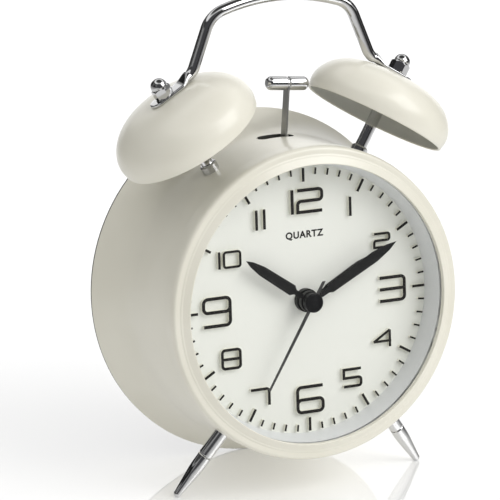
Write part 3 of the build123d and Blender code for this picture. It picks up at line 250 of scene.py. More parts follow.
drum = turn_piece("drum_shell", drum_wall(0) + drum_wall(DRUM_WALL)[::-1], ALONG_Y, around=240)
SLOT_HALF, SLOT_WIDTH, SLOT_Y = 6.3, 5.0, 19.0
cutter_bm = bmesh.new()
slot_line = []
for end in (1, -1):
    for step in range(17):
        turn = pi * step / 16 - pi / 2
        slot_line.append((end * (SLOT_HALF - SLOT_WIDTH / 2 + SLOT_WIDTH / 2 * cos(turn)),
                          end * SLOT_WIDTH / 2 * sin(turn)))
low_ring = [cutter_bm.verts.new((x, y, -6)) for x, y in slot_line]
high_ring = [cutter_bm.verts.new((x, y, 6)) for x, y in slot_line]
cutter_bm.faces.new(low_ring)
cutter_bm.faces.new(high_ring)
for i in range(len(slot_line)):
    j = (i + 1) % len(slot_line)
    cutter_bm.faces.new((low_ring[i], low_ring[j], high_ring[j], high_ring[i]))
cutter = add_piece("slot_cutter", cutter_bm, place_radially(0, SLOT_Y, DRUM_WAIST[0]))


def cut_away(piece, tool):
    """Cuts one piece with another and throws the tool away."""
    cut = piece.modifiers.new("cut", "BOOLEAN")
    cut.object = tool
    cut.solver = "EXACT"
    bpy.context.view_layer.update()
    result = bpy.data.meshes.new_from_object(piece.evaluated_get(bpy.context.evaluated_depsgraph_get()))
    piece.modifiers.clear()
    piece.data = result
    bpy.data.objects.remove(tool)
    result.shade_smooth()
    result.set_sharp_from_angle(angle=radians(40))


cut_away(drum, cutter)


def fit(piece, finish, body, slot, *stands_for):
    """Gives a piece its finish and its body, and hides the nodes it stands for."""
    piece.data.materials.clear()
    piece.data.materials.append(finish)
    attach(piece, body)
    if stands_for:
        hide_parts(*stands_for)
    return piece


fit(drum, cream_enamel, "case", "cream_paint", "case_drum")


def painted_shade_inside(flow):
    """Inside of the drum: near-black painted shade, so the slot reads as a dark hollow."""
    dust = flow.noise(350, 3)
    return {"Base Color": dust.tint((0.03, 0.03, 0.028, 1), (0.07, 0.068, 0.06, 1)),
            "Roughness": 0.6 + 0.2 * dust}


drum.data.materials.append(make_finish("drum_inside_painted_shade", painted_shade_inside))
# Faces inside the wall take the near-black painted shade.
wall_r, wall_y = zip(*drum_wall(DRUM_WALL / 2))
to_clock = CLOCK.inverted()
for face in drum.data.polygons:
    x, y, z = to_clock @ face.center
    face.material_index = int(sqrt(x * x + z * z) < np.interp(y, wall_y, wall_r))

# ---------------------------------------------------------------- front bezel
# Spun steel ring pressed over the drum's front edge: skirt, rolled shoulder, a fine bead and a sloping face
# that runs down to the window. It has the drum's enamel, laid a little thicker.
BEZEL_R, BEZEL_LIP, APERTURE_R, BEZEL_SHEET = 49.7, -8.9, 44.2, 0.7
SKIRT_END, SHOULDER_Y, SHOULDER_EASE, WINDOW_SEAT = -0.5, -7.3, 2.6, -7.2
BEAD_OUTER, BEAD_FOOT, BEAD_INNER = (47.3, -7.42), (46.9, -7.66), (46.5, -7.72)
LIP_CREST_R, LIP_EDGE_Y = 44.45, -8.75
SHEET_BACK, SHEET_BEND_Y, SHEET_EASE = (47.6, -6.6), -5.2, 0.8
bezel_line = eased([
    (BEZEL_R, SKIRT_END, 0), (BEZEL_R, SHOULDER_Y, SHOULDER_EASE), (*BEAD_OUTER, 0.3), (*BEAD_FOOT, 0.25),
    (*BEAD_INNER, 0.2), (LIP_CREST_R, BEZEL_LIP, 0.25), (APERTURE_R, LIP_EDGE_Y, 0.2),
    (APERTURE_R, WINDOW_SEAT, 0), (BEAD_INNER[0], WINDOW_SEAT, 0), (*SHEET_BACK, SHEET_EASE),
    (BEZEL_R - BEZEL_SHEET, SHEET_BEND_Y, SHEET_EASE), (BEZEL_R - BEZEL_SHEET, SKIRT_END, 0),
], steps=8)
bezel = turn_piece("bezel_ring", bezel_line, ALONG_Y, around=240, sharp=60)
fit(bezel, cream_enamel, "case", "cream_paint", "front_bezel")


# ---------------------------------------------------------------- window and inner ring
# A flat clear acrylic window, and behind it a moulded satin-white cone that keeps it off the dial; its colour is
# painted down to a shaded grey-blue.
def clear(flow):
    wipe = flow.noise(60, 3)
    return {"Roughness": 0.02 + 0.05 * wipe, "Alpha": 0.003 + 0.004 * wipe.between(0.5, 0.8)}


def dress(finish, *names):
    """A CAD node keeps its shape and takes this finish."""
    for name in names:
        nodes[name].data.materials.clear()
        nodes[name].data.materials.append(finish)


acrylic = make_finish("clear_acrylic", clear, Base_Color=(0.95, 0.97, 0.97, 1), IOR=1.49)
dress(acrylic, "lens")


def shaded_satin_moulding(flow):
    # Base colour is painted shade: grey-blue, darker than the dial, for the white cone under the bezel.
    grain = flow.noise(900, 3)
    return {"Base Color": grain.tint((0.72, 0.735, 0.735, 1), (0.76, 0.775, 0.77, 1)),
            "Roughness": 0.42 + 0.15 * grain, "Normal": grain.bump(0.000010, 0.5)}


ring_white = make_finish("ring_white", shaded_satin_moulding)
dress(ring_white, "dial_ring")


def lamp_epoxy(flow):
    return {"Base Color": flow.noise(300).tint((0.80, 0.86, 0.92, 1), (0.9, 0.94, 0.97, 1))}


dress(make_finish("lamp_epoxy", lamp_epoxy, Roughness=0.1), "dial_lamp")


# ---------------------------------------------------------------- dial
# Sheet-metal dial with a matt white lacquer; the word is printed on it, and the hour figures and the minute
# track are black mouldings standing well clear of it.
def dial_lacquer(flow):
    grain = flow.noise(1500, 4)
    cloud = flow.noise(30, 2)
    return {"Base Color": cloud.tint((0.84, 0.85, 0.785, 1), (0.87, 0.88, 0.82, 1)),
            "Roughness": 0.5 + 0.2 * grain, "Normal": grain.bump(0.000006, 0.5)}


dial_white = make_finish("dial_white", dial_lacquer)
dress(dial_white, "dial_plate")


STAMP_DEPTH = 0.00022


def stamped_figure(flow):
    """Mouldings in the dial's white; hot foil blackens the faces and just rolls over their edges."""
    place = flow.node("ShaderNodeTexCoord", out=3)
    depth = place.node("ShaderNodeVectorMath", {0: place, 1: tuple(into_case)}, out=1, operation="DOT_PRODUCT")
    grain = flow.noise(2400, 2)
    foil = 1 - (depth - into_case.dot(dial_centre)).between(STAMP_DEPTH * 0.8, STAMP_DEPTH)
    black = grain.tint((0.008, 0.007, 0.006, 1), (0.016, 0.014, 0.013, 1))
    return {"Base Color": foil.tint((0.80, 0.79, 0.70, 1), black), "Roughness": 0.42 + 0.15 * grain,
            "Normal": grain.bump(0.000004, 0.5)}


stamped = make_finish("stamped_figures", stamped_figure, Specular_IOR_Level=0.25)
dress(stamped, "hour_numerals", "minute_marks")


def print_ink(flow):
    grain = flow.noise(3000, 2)
    return {"Base Color": grain.tint((0.01, 0.009, 0.008, 1), (0.02, 0.018, 0.016, 1)),
            "Roughness": 0.45 + 0.2 * grain}


dial_ink = make_finish("dial_ink", print_ink, Specular_IOR_Level=0.2)
WORD_PLACE, WORD_HEIGHT, WORD_SPREAD = (0.4, 1.28, 20.7), 3.0, 1.12
STROKE_GAIN, INK_THICKNESS = 0.095, 0.03
word = bpy.data.curves.new("dial_word", "FONT")
word.body = "QUARTZ"
word.align_x = "CENTER"
word.align_y = "CENTER"
word.size = WORD_HEIGHT
word.space_character = WORD_SPREAD
word.offset = STROKE_GAIN
word.extrude = INK_THICKNESS
lettering = bpy.data.objects.new("dial_word_text", word)
bpy.context.scene.collection.objects.link(lettering)
bpy.context.view_layer.update()
set_word = lettering.evaluated_get(bpy.context.evaluated_depsgraph_get())
printed = bpy.data.objects.new("dial_word", bpy.data.meshes.new_from_object(set_word))
bpy.data.objects.remove(lettering)
bpy.context.scene.collection.objects.link(printed)
printed.data.transform(CLOCK @ Matrix.Translation(WORD_PLACE) @ Matrix.Rotation(pi / 2, 4, "X"))
fit(printed, dial_ink, "case", "black_trim")


# ---------------------------------------------------------------- hands
# Lance hands blanked from thin brass sheet and painted black; the edges roll over where the die cut them.
# The alarm hand below them is dark nickel. The seconds needle sits under a turned cap.
def hand_paint(flow):
    grain = flow.noise(1800, 3)
    return {"Base Color": grain.tint((0.008, 0.008, 0.008, 1), (0.02, 0.02, 0.02, 1)),
            "Roughness": 0.28 + 0.18 * grain, "Normal": grain.bump(0.000003, 0.5)}


LATHE_PITCH = 0.00011
PAINTED_SHEEN_LINE = (Vector((-0.6, 0, 0)) + 0.8 * to_twelve).normalized()


def dark_nickel(flow):
    """Black nickel over turned metal with fine rings about the hands' axis; a painted sheen lightens its colour
    in a fan along one line.
    """
    brushed = flow.noise(900, 3, (1, 1, 0.08))
    place = flow.node("ShaderNodeTexCoord", out=3)
    arm = place.node("ShaderNodeVectorMath", {0: place, 1: tuple(dial_centre)}, operation="SUBTRACT")
    across = arm.node("ShaderNodeVectorMath", {0: arm, 1: tuple(into_case)}, operation="CROSS_PRODUCT")
    radius = across.node("ShaderNodeVectorMath", {0: across}, out=1, operation="LENGTH")
    rings = (radius * (2 * pi / LATHE_PITCH)).sine()
    heading = arm.node("ShaderNodeVectorMath", {0: arm}, operation="NORMALIZE")
    towards = heading.node("ShaderNodeVectorMath", {0: heading, 1: tuple(PAINTED_SHEEN_LINE)}, out=1,
                           operation="DOT_PRODUCT")
    # Painted sheen: the base colour turns light grey in a fan along one line across the cap.
    painted_sheen = (towards * towards).between(0.62, 0.98)
    dark = brushed.tint((0.018, 0.018, 0.019, 1), (0.035, 0.035, 0.037, 1))
    return {"Base Color": painted_sheen.tint(dark, (0.22, 0.22, 0.225, 1)), "Roughness": 0.26 + 0.2 * brushed,
            "Normal": (rings + 0.3 * brushed).bump(0.000004, 0.5)}


def pale_nickel(flow):
    """Nickel plate on sheet: fine straight brushing from the rolling mill."""
    brushed = flow.noise(900, 3, (1, 1, 0.08))
    return {"Base Color": brushed.tint((0.08, 0.08, 0.078, 1), (0.16, 0.16, 0.155, 1)),
            "Roughness": 0.25 + 0.2 * brushed, "Normal": brushed.bump(0.000002, 0.5)}


hand_black = make_finish("hand_black", hand_paint, Specular_IOR_Level=0.2)
gunmetal = make_finish("gunmetal", dark_nickel, Metallic=1.0)
nickel = make_finish("nickel", pale_nickel, Metallic=1.0)


def plate(bm, outline, front, back, rounding):
    """Flat blank from a closed outline in (x, z), its front edges rolled over."""
    lower = [bm.verts.new((x, back, z)) for x, z in outline]
    upper = [bm.verts.new((x, front, z)) for x, z in outline]
    bm.faces.new(lower)
    top = bm.faces.new(upper)
    for i in range(len(outline)):
        j = (i + 1) % len(outline)
        bm.faces.new((lower[i], lower[j], upper[j], upper[i]))
    bmesh.ops.bevel(bm, geom=list(top.edges), offset=rounding, segments=3, affect="EDGES", profile=0.6)


def lance(length, shoulder, base, waist, waist_half, neck):
    near_tip = waist + 0.62 * (length - waist)
    side = [(neck, 0), (neck, shoulder - 1.1), (base, shoulder), (waist_half, waist),
            (0.58 * waist_half, near_tip)]
    return side + [(0, length)] + [(-x, z) for x, z in reversed(side)]


def hand_piece(name, outline, angle, front, back, hub, bore, finish, body, slot, *stands_for):
    bm = bmesh.new()
    plate(bm, outline, front, back, 0.12)
    blade = add_piece(name, bm, CLOCK @ Matrix.Rotation(radians(angle), 4, "Y"), sharp=50)
    fit(blade, finish, body, slot, *stands_for)
    boss_line = eased([(bore, front - 0.4, 0), (hub, front - 0.4, 0.12), (hub, back, 0), (bore, back, 0)])
    boss = turn_piece(name + "_boss", boss_line, ALONG_Y, around=96)
    fit(boss, finish, body, slot)


HOUR_AT, MINUTE_AT, ALARM_AT, SECOND_AT = 305.2, 62.3, 61.5, 211.5
ALARM_LAYER, HOUR_LAYER, MINUTE_LAYER, NEEDLE_LAYER = (-1.6, -1.3), (-2.5, -2.1), (-3.6, -3.2), (-4.7, -4.4)
hand_piece("hour_blade", lance(26.6, 7.4, 1.8, 20.0, 1.6, 0.7), HOUR_AT, *HOUR_LAYER, 3.3, 1.6,
           hand_black, "hour_hand", "black_hand", "hour_hand")
hand_piece("minute_blade", lance(34.3, 7.8, 1.55, 25.5, 1.75, 0.7), MINUTE_AT, *MINUTE_LAYER, 3.0, 1.0,
           hand_black, "minute_hand", "black_hand", "minute_hand")
hand_piece("alarm_blade", lance(24.8, 7.4, 1.05, 20.0, 1.15, 0.6), ALARM_AT, *ALARM_LAYER, 3.3, 2.25,
           nickel, "alarm_hand", "dark_steel", "alarm_hand")
needle_bm = bmesh.new()
NEEDLE_REACH, NEEDLE_ROOT_HALF, NEEDLE_TIP_HALF = 31.0, 0.55, 0.34
plate(needle_bm, [
    (-NEEDLE_ROOT_HALF, 0), (-NEEDLE_TIP_HALF, NEEDLE_REACH), (NEEDLE_TIP_HALF, NEEDLE_REACH),
    (NEEDLE_ROOT_HALF, 0), (0.45, -7.2), (-0.45, -7.8),
], *NEEDLE_LAYER, 0.06)
needle = add_piece("seconds_needle", needle_bm, CLOCK @ Matrix.Rotation(radians(SECOND_AT), 4, "Y"), sharp=50)
fit(needle, nickel, "second_hand", "dark_steel", "second_hand")
cap_line = eased([(0, -5.7, 0), (1.0, -5.7, 0.1), (1.15, -5.62, 0.1), (2.75, -5.7, 0.15), (3.1, -5.35, 0.2),
                  (3.1, -4.4, 0), (0, -4.4, 0)])
fit(turn_piece("seconds_cap", cap_line, ALONG_Y, around=96), gunmetal, "second_hand", "dark_steel")
dress(hand_black, "dial_nut")


# ---------------------------------------------------------------- movement and striking work
# Plastic quartz movement with its wheels, coil and board, and the little motor that rocks the hammer. All of
# it is shut in the drum, so its finishes are plain ones: mouldings, zinc-plated steel, brass, copper.
def moulded(dark, light, rough=0.45, scale=700):
    def vary(flow):
        grain = flow.noise(scale, 3)
        return {"Base Color": grain.tint((*dark, 1), (*light, 1)), "Roughness": rough + 0.15 * grain,
                "Normal": grain.bump(0.000008, 0.5)}
    return vary


def plated(dark, light, rough=0.22, scale=500):
    def vary(flow):
        grain = flow.noise(scale, 3, (1, 0.15, 1))
        return {"Base Color": grain.tint((*dark, 1), (*light, 1)), "Roughness": rough + 0.18 * grain,
                "Normal": grain.bump(0.000003, 0.5)}
    return vary


shell_black = make_finish("shell_black", moulded((0.045, 0.045, 0.05), (0.07, 0.07, 0.075)))
acetal = make_finish("acetal", moulded((0.76, 0.73, 0.64), (0.84, 0.81, 0.72), 0.35))
zinc = make_finish("zinc_plate", plated((0.50, 0.50, 0.51), (0.64, 0.64, 0.65)), Metallic=1.0)
brass = make_finish("turned_brass", plated((0.66, 0.48, 0.20), (0.78, 0.60, 0.28)), Metallic=1.0)
copper = make_finish("enamelled_copper", plated((0.60, 0.26, 0.12), (0.74, 0.36, 0.18)), Metallic=1.0)
solder_mask = make_finish("solder_mask", moulded((0.02, 0.14, 0.06), (0.03, 0.20, 0.09), 0.3))
ferrite = make_finish("ferrite", moulded((0.03, 0.03, 0.035), (0.06, 0.06, 0.06), 0.5))
dress(shell_black, "movement_front_shell", "movement_rear_shell", "movement_middle_plate", "alarm_switch_body",
      "light_switch")
dress(acetal, "hour_wheel", "minute_wheel", "alarm_wheel", "centre_wheel", "third_wheel", "second_wheel",
      "drive_wheel", "striker_gear")
dress(zinc, "movement_screws", "striker_bracket", "hammer_pin", "striker_motor", "stepper_stator", "case_nuts",
      "battery_springs", "battery_contacts", "time_set_shaft", "alarm_set_shaft")
dress(brass, "cannon_pinion", "motor_pinion")
dress(copper, "stepper_coil")
dress(solder_mask, "circuit_board")
dress(ferrite, "stepper_rotor")


# ---------------------------------------------------------------- hammer
# Turned steel barrel on a flat spring-steel arm, both chromed; a groove round the middle locks the arm.
def chrome_plate(flow):
    """Bright plating: nearly a mirror, with faint polishing marks and breath marks."""
    breath = flow.noise(70, 3)
    marks = flow.noise(2200, 2, (1, 1, 0.12))
    return {"Base Color": breath.tint((0.62, 0.62, 0.625, 1), (0.70, 0.70, 0.70, 1)),
            "Roughness": 0.05 + 0.06 * breath + 0.05 * marks.between(0.62, 0.75),
            "Normal": marks.bump(0.0000008, 0.5)}


chrome = make_finish("bright_chrome", chrome_plate, Metallic=1.0)
HEAD_R, HEAD_HALF, HEAD_REACH = 2.25, 7.2, 50.6
PIVOT_Z, HAMMER_LEAN = 15.6, 5.3
SWING = CLOCK @ Matrix.Translation((0, SLOT_Y, PIVOT_Z)) @ Matrix.Rotation(radians(HAMMER_LEAN), 4, "Y")
head_half_line = [(HEAD_R - 0.35, -0.25, 0.1), (HEAD_R, -0.5, 0.12), (HEAD_R, 0.9 - HEAD_HALF, 0.6),
                  (HEAD_R - 0.9, -HEAD_HALF, 0.4), (0, -HEAD_HALF, 0)]
head_line = eased([(r, -h, e) for r, h, e in head_half_line[::-1]] + head_half_line, steps=5)
head = turn_piece("hammer_barrel", head_line, SWING @ Matrix.Translation((0, 0, HEAD_REACH))
                  @ Matrix.Rotation(pi / 2, 4, "Y"), around=96)
fit(head, chrome, "hammer", "chrome", "hammer_head")
arm_steel = make_finish("arm_steel", plated((0.36, 0.36, 0.355), (0.46, 0.46, 0.45), 0.3), Metallic=1.0)
dress(arm_steel, "hammer_arm")


# ---------------------------------------------------------------- bells
# Two spun steel cups with a slight swell above the rim, enamelled outside like the drum and a plain darker grey
# inside.
def clamped_spline(points, start, end, count):
    """Smooth line through points that leaves and arrives in given directions."""
    p = np.array(points, float)
    gaps = np.linalg.norm(np.diff(p, axis=0), axis=1)
    n = len(p)
    a = np.eye(n)
    d = np.zeros((n, 2))
    d[0] = np.array(start) / np.linalg.norm(start)
    d[-1] = np.array(end) / np.linalg.norm(end)
    for i in range(1, n - 1):
        g0, g1 = gaps[i - 1], gaps[i]
        a[i, i - 1:i + 2] = g1, 2 * (g0 + g1), g0
        d[i] = 3 * (g1 / g0 * (p[i] - p[i - 1]) + g0 / g1 * (p[i + 1] - p[i]))
    slope = np.linalg.solve(a, d)
    line = []
    for i in range(n - 1):
        for step in range(count):
            t = step / count
            h = gaps[i]
            line.append((2 * t ** 3 - 3 * t ** 2 + 1) * p[i] + (t ** 3 - 2 * t ** 2 + t) * h * slope[i]
                        + (3 * t ** 2 - 2 * t ** 3) * p[i + 1] + (t ** 3 - t ** 2) * h * slope[i + 1])
    return [tuple(q) for q in line] + [tuple(p[-1])]


BELL_ANGLE, BELL_Y, BELL_RIM_D, BELL_R, BELL_H, BELL_WALL = 31.2, 12.7, 61.8, 23.3, 15.6, 0.9
STUD_HOLE = 1.45
outer_bell = clamped_spline(
    [(BELL_R, 0.35), (BELL_R + 0.45, 3.2), (19.6, 11.2), (10.5, 15.0), (STUD_HOLE, 15.59)], (0.2, 1), (-1, 0), 12)
inner_bell = clamped_spline([(STUD_HOLE, BELL_H - BELL_WALL), (10.3, 14.1), (18.9, 10.5), (22.85, 3.0),
                             (BELL_R - BELL_WALL, 0.35)], (1, 0), (-0.2, -1), 12)
rolled_rim = [(BELL_R - BELL_WALL / 2 - BELL_WALL / 2 * cos(pi * t / 8), 0.35 - 0.35 * sin(pi * t / 8))
              for t in range(1, 8)]
bell_line = outer_bell + inner_bell + rolled_rim
BELL_AROUND = 192
first_inner = (len(outer_bell) - 1) * BELL_AROUND
last_inner = (len(outer_bell) + len(inner_bell) - 1) * BELL_AROUND


def darker_grey_inside(flow):
    """The cups' insides: a plain grey, darker than the enamel outside."""
    cloud = flow.noise(120, 3)
    return {"Base Color": cloud.tint((0.58, 0.58, 0.54, 1), (0.66, 0.66, 0.62, 1)),
            "Roughness": 0.4 + 0.2 * cloud}


bell_inside = make_finish("bell_inside", darker_grey_inside)
for name, side in (("right", 1), ("left", -1)):
    bell = turn_piece("bell_cup_" + name, bell_line, place_radially(side * BELL_ANGLE, BELL_Y, BELL_RIM_D),
                      around=BELL_AROUND, sharp=50)
    fit(bell, cream_enamel, "case", "cream_paint", "bell_" + name)
    bell.data.materials.append(bell_inside)
    for face in bell.data.polygons:
        face.material_index = int(first_inner <= face.index < last_inner)

# ---------------------------------------------------------------- posts, collars and cap nuts
# Chromed rods from the drum up to the bells' crowns, a bush at each root, and a domed M3 nut on each end.
POST_R, CROWN_D, TAB_T = 1.9, BELL_RIM_D + BELL_H, 1.0
POST_ROOT, POST_SHOULDER, STUD_TOP = 47.4, 76.3, CROWN_D + TAB_T + 4.0
for name, side in (("right", 1), ("left", -1)):
    post_line = eased([(0, POST_ROOT, 0), (POST_R, POST_ROOT, 0), (POST_R, POST_SHOULDER, 0.15),
                       (STUD_HOLE, POST_SHOULDER + 0.3, 0), (STUD_HOLE, STUD_TOP, 0), (0, STUD_TOP, 0)])
    post = turn_piece("post_" + name, post_line, place_radially(side * BELL_ANGLE, BELL_Y, 0), around=64)
    fit(post, chrome, "case", "chrome", "bell_post_" + name)
dress(chrome, "post_collars")

NUT_ACROSS, NUT_HEX_H, NUT_H, DOME_R = 5.5, 3.4, 6.2, 2.7


def hexagon(turn):
    """Distance from the axis to the nut's flats in this direction."""
    off = (turn + pi / 6) % (pi / 3) - pi / 6
    return NUT_ACROSS / 2 / cos(off)


nut_corner = NUT_ACROSS / sqrt(3)
nut_line = [(0, 0), (nut_corner - 0.35, 0), (nut_corner, 0.3)]
nut_line += [(nut_corner, 0.3 + 0.25 * t) for t in range(1, 11)]
nut_line += [(nut_corner - 0.06 * t, 2.8 + 0.06 * t) for t in range(1, 11)]
nut_line += [(DOME_R - 0.12, NUT_HEX_H + 0.02), (DOME_R - 0.12, NUT_H - DOME_R + 0.1)]
dome_turns = [pi / 2 * t / 14 for t in range(1, 14)]
nut_line += [(DOME_R * cos(turn), NUT_H - DOME_R + DOME_R * sin(turn)) for turn in dome_turns]
nut_line += [(0, NUT_H)]
nuts_bm = bmesh.new()
for side in (1, -1):
    one = bmesh.new()
    skin(one, nut_line, 144, hexagon)
    seat = Matrix.Translation((0, 0, CROWN_D + TAB_T))
    one.transform(Matrix.Rotation(radians(side * BELL_ANGLE), 4, "Y") @ seat)
    part = bpy.data.meshes.new("nut")
    one.to_mesh(part)
    one.free()
    nuts_bm.from_mesh(part)
    bpy.data.meshes.remove(part)
nuts = add_piece("domed_nuts", nuts_bm, CLOCK @ Matrix.Translation((0, BELL_Y, 0)), sharp=18)
fit(nuts, chrome, "case", "chrome", "cap_nuts")

# ---------------------------------------------------------------- carrying handle
# Round steel bar bent to a low arch, its ends hammered flat into tabs under the cap nuts, then chromed.
BAR_R, TAB_HALF_W = 1.85, 3.1
FLAT_UNTIL, ROUND_FROM, RISE_FROM, RISE_UNTIL, SQUARENESS = 11.0, 16.5, 13.5, 19, 0.62
tab_mid = CROWN_D + TAB_T / 2
out_x, out_z = cos(radians(BELL_ANGLE)), -sin(radians(BELL_ANGLE))
seat_x, seat_z = tab_mid * sin(radians(BELL_ANGLE)), tab_mid * cos(radians(BELL_ANGLE))
tab_end = (seat_x + 5.6 * out_x, seat_z + 5.6 * out_z)
knee = (seat_x - 10.4 * out_x, seat_z - 10.4 * out_z)
shoulder = (24.15, 90.6)
half_route = [tab_end, knee, shoulder]
route = half_route + [(0, 97.85)] + [(-x, z) for x, z in half_route[::-1]]
bend_radii = [0, 2.4, 9, 66, 9, 2.4, 0]


def bent_line(points, radii, step=0.35):
    """Centre line of a bent bar: straight runs joined by arcs."""
    line = [Vector(points[0])]
    for i in range(1, len(points) - 1):
        here = Vector(points[i])
        a = (Vector(points[i - 1]) - here).normalized()
        b = (Vector(points[i + 1]) - here).normalized()
        half = a.angle(b) / 2
        centre = here + (a + b).normalized() * radii[i] / sin(half)
        reach = radii[i] / tan(half)
        first, last = here + a * reach - centre, here + b * reach - centre
        sweep = first.angle_signed(last)
        count = max(4, int(radii[i] * abs(sweep) / step))
        line += [centre + Matrix.Rotation(-sweep * t / count, 2) @ first for t in range(count + 1)]
    line.append(Vector(points[-1]))
    even = [line[0]]
    for p, q in zip(line, line[1:]):
        pieces = max(1, round((q - p).length / step))
        even += [p.lerp(q, t / pieces) for t in range(1, pieces + 1)]
    return even


def ease(value, low, high):
    t = min(1.0, max(0.0, (value - low) / (high - low)))
    return t * t * (3 - 2 * t)


centre_line = bent_line(route, bend_radii)
travelled = [0.0]
for p, q in zip(centre_line, centre_line[1:]):
    travelled.append(travelled[-1] + (q - p).length)
handle_bm = bmesh.new()
rings = []
SECTION_POINTS = 32
for i, p in enumerate(centre_line):
    ahead = centre_line[min(i + 1, len(centre_line) - 1)] - centre_line[max(i - 1, 0)]
    ahead.normalize()
    up = Vector((ahead.y, -ahead.x))
    if up.dot(p) < 0:
        up = -up
    from_end = min(travelled[i], travelled[-1] - travelled[i])
    flat = 1 - ease(from_end, FLAT_UNTIL, ROUND_FROM)
    thick = BAR_R + (TAB_T / 2 - BAR_R) * flat
    wide = BAR_R + (TAB_HALF_W - BAR_R) * flat
    if from_end < TAB_HALF_W:
        wide = max(0.35, sqrt(TAB_HALF_W ** 2 - (TAB_HALF_W - from_end) ** 2))
        thick *= 0.75 + 0.25 * ease(from_end, 0, 0.5)
    raised = (thick - TAB_T / 2) * (1 - ease(from_end, RISE_FROM, RISE_UNTIL))
    fullness = 1.0 - SQUARENESS * flat
    middle = p + up * raised
    ring = []
    for k in range(SECTION_POINTS):
        turn = 2 * pi * k / SECTION_POINTS
        c, s = cos(turn), sin(turn)
        y = wide * abs(c) ** fullness * (1 if c >= 0 else -1)
        n = thick * abs(s) ** fullness * (1 if s >= 0 else -1)
        ring.append(handle_bm.verts.new((middle.x + up.x * n, y, middle.y + up.y * n)))
    rings.append(ring)
for a, b in zip(rings, rings[1:]):
    for k in range(SECTION_POINTS):
        m = (k + 1) % SECTION_POINTS
        handle_bm.faces.new((a[k], b[k], b[m], a[m]))
handle_bm.faces.new(rings[0])
handle_bm.faces.new(rings[-1])
handle = add_piece("handle_bar", handle_bm, CLOCK @ Matrix.Translation((0, BELL_Y, 0)), sharp=60)
fit(handle, chrome, "case", "chrome", "carry_handle")

# ---------------------------------------------------------------- feet
# Turned steel legs, chromed: a cylinder with one groove, then a long taper to a small ball.
FOOT_ANGLE, FOOT_TOP, FOOT_TIP = 36.0, (49.0, 4.5), (73.5, 9.7)
FOOT_R, FOOT_END_R, FOOT_SUNK, GROOVE_AT, TAPER_AT = 2.3, 1.25, 1.6, 0.36, 0.55
foot_length = sqrt((FOOT_TIP[0] - FOOT_TOP[0]) ** 2 + (FOOT_TIP[1] - FOOT_TOP[1]) ** 2)
groove, taper = GROOVE_AT * foot_length, TAPER_AT * foot_length
ball = foot_length - FOOT_END_R
foot_line = eased([(0, -FOOT_SUNK, 0), (FOOT_R, -FOOT_SUNK, 0),
                   (FOOT_R, groove - 0.3, 0.12), (FOOT_R - 0.3, groove, 0.1),
                   (FOOT_R, groove + 0.3, 0.12), (FOOT_R, taper, 2.2), (FOOT_END_R * 0.985, ball - 0.25, 0)])
ball_turns = [pi / 2 * t / 10 for t in range(10)]
foot_line += [(FOOT_END_R * cos(turn), ball + FOOT_END_R * sin(turn)) for turn in ball_turns]
foot_line += [(0, foot_length)]
for name, side in (("right", 1), ("left", -1)):
    out = Vector((side * sin(radians(FOOT_ANGLE)), 0, -cos(radians(FOOT_ANGLE))))
    root = FOOT_TOP[0] * out + Vector((0, FOOT_TOP[1], 0))
    tip = FOOT_TIP[0] * out + Vector((0, FOOT_TIP[1], 0))
    aim = (tip - root).to_track_quat("Z", "Y").to_matrix().to_4x4()
    foot = turn_piece("leg_" + name, foot_line, CLOCK @ Matrix.Translation(root) @ aim, around=80)
    for v in foot.data.vertices:
        v.co.z = max(v.co.z, 0.0)
    fit(foot, chrome, "case", "chrome", "foot_" + name)

# ---------------------------------------------------------------- back
# Black ABS back with a spark-eroded texture, its battery door, knobs, switch and lamp button, held by four
# zinc-plated screws. The two cells lie under the door.
back_plastic = make_finish("back_plastic", moulded((0.018, 0.018, 0.019), (0.032, 0.032, 0.033), 0.42, 1600))
knob_plastic = make_finish("knob_plastic", moulded((0.02, 0.02, 0.021), (0.03, 0.03, 0.03), 0.28, 900))
dress(back_plastic, "back_cover", "battery_door")
dress(knob_plastic, "time_set_knob", "alarm_set_knob", "alarm_switch", "light_button")
dress(zinc, "cover_screws")
dress(make_finish("cell_sleeve", moulded((0.02, 0.05, 0.035), (0.03, 0.08, 0.05), 0.25)), "battery_cells")

# ---------------------------------------------------------------- studio
# White gloss table under an even tent of light, with one soft key from the reader's right. Dark flags at both
# sides and a dark band above draw the edges of the chrome; a brighter backdrop stands behind the clock.
floor_bm = bmesh.new()
VIEW_TURN, VIEW_RISE, VIEW_ROLL = radians(-26.521), radians(17.108), radians(1.309)
bmesh.ops.create_grid(floor_bm, x_segments=8, y_segments=8, size=12.0)
floor = add_piece("table", floor_bm, Matrix.Identity(4))
LIT_HALF, DIM_HALF = 0.20, 0.42


def table_top(flow):
    """Painted light falloff: colour and glow are pale in a band under the lights and painted down to grey at both
    sides.
    """
    grain = flow.noise(3, 2)
    place = flow.node("ShaderNodeTexCoord", out=3)
    across = place.node("ShaderNodeVectorMath", {0: place, 1: (cos(VIEW_TURN), sin(VIEW_TURN), 0)}, out=1,
                        operation="DOT_PRODUCT")
    # Painted falloff: beyond the lit band both colour and glow darken towards grey.
    painted_falloff = (across * across).between(LIT_HALF ** 2, DIM_HALF ** 2)
    pale = grain.tint((0.78, 0.78, 0.775, 1), (0.80, 0.80, 0.795, 1))
    return {"Base Color": painted_falloff.tint(pale, (0.52, 0.52, 0.52, 1)), "Roughness": 0.30,
            "Emission Color": painted_falloff.tint((1, 1, 1, 1), (0.45, 0.45, 0.45, 1))}


table_white = make_finish("table_white", table_top, Coat_Weight=1.0, Coat_Roughness=0.03, Coat_IOR=2.0,
                          Emission_Strength=0.26)
floor.data.materials.append(table_white)

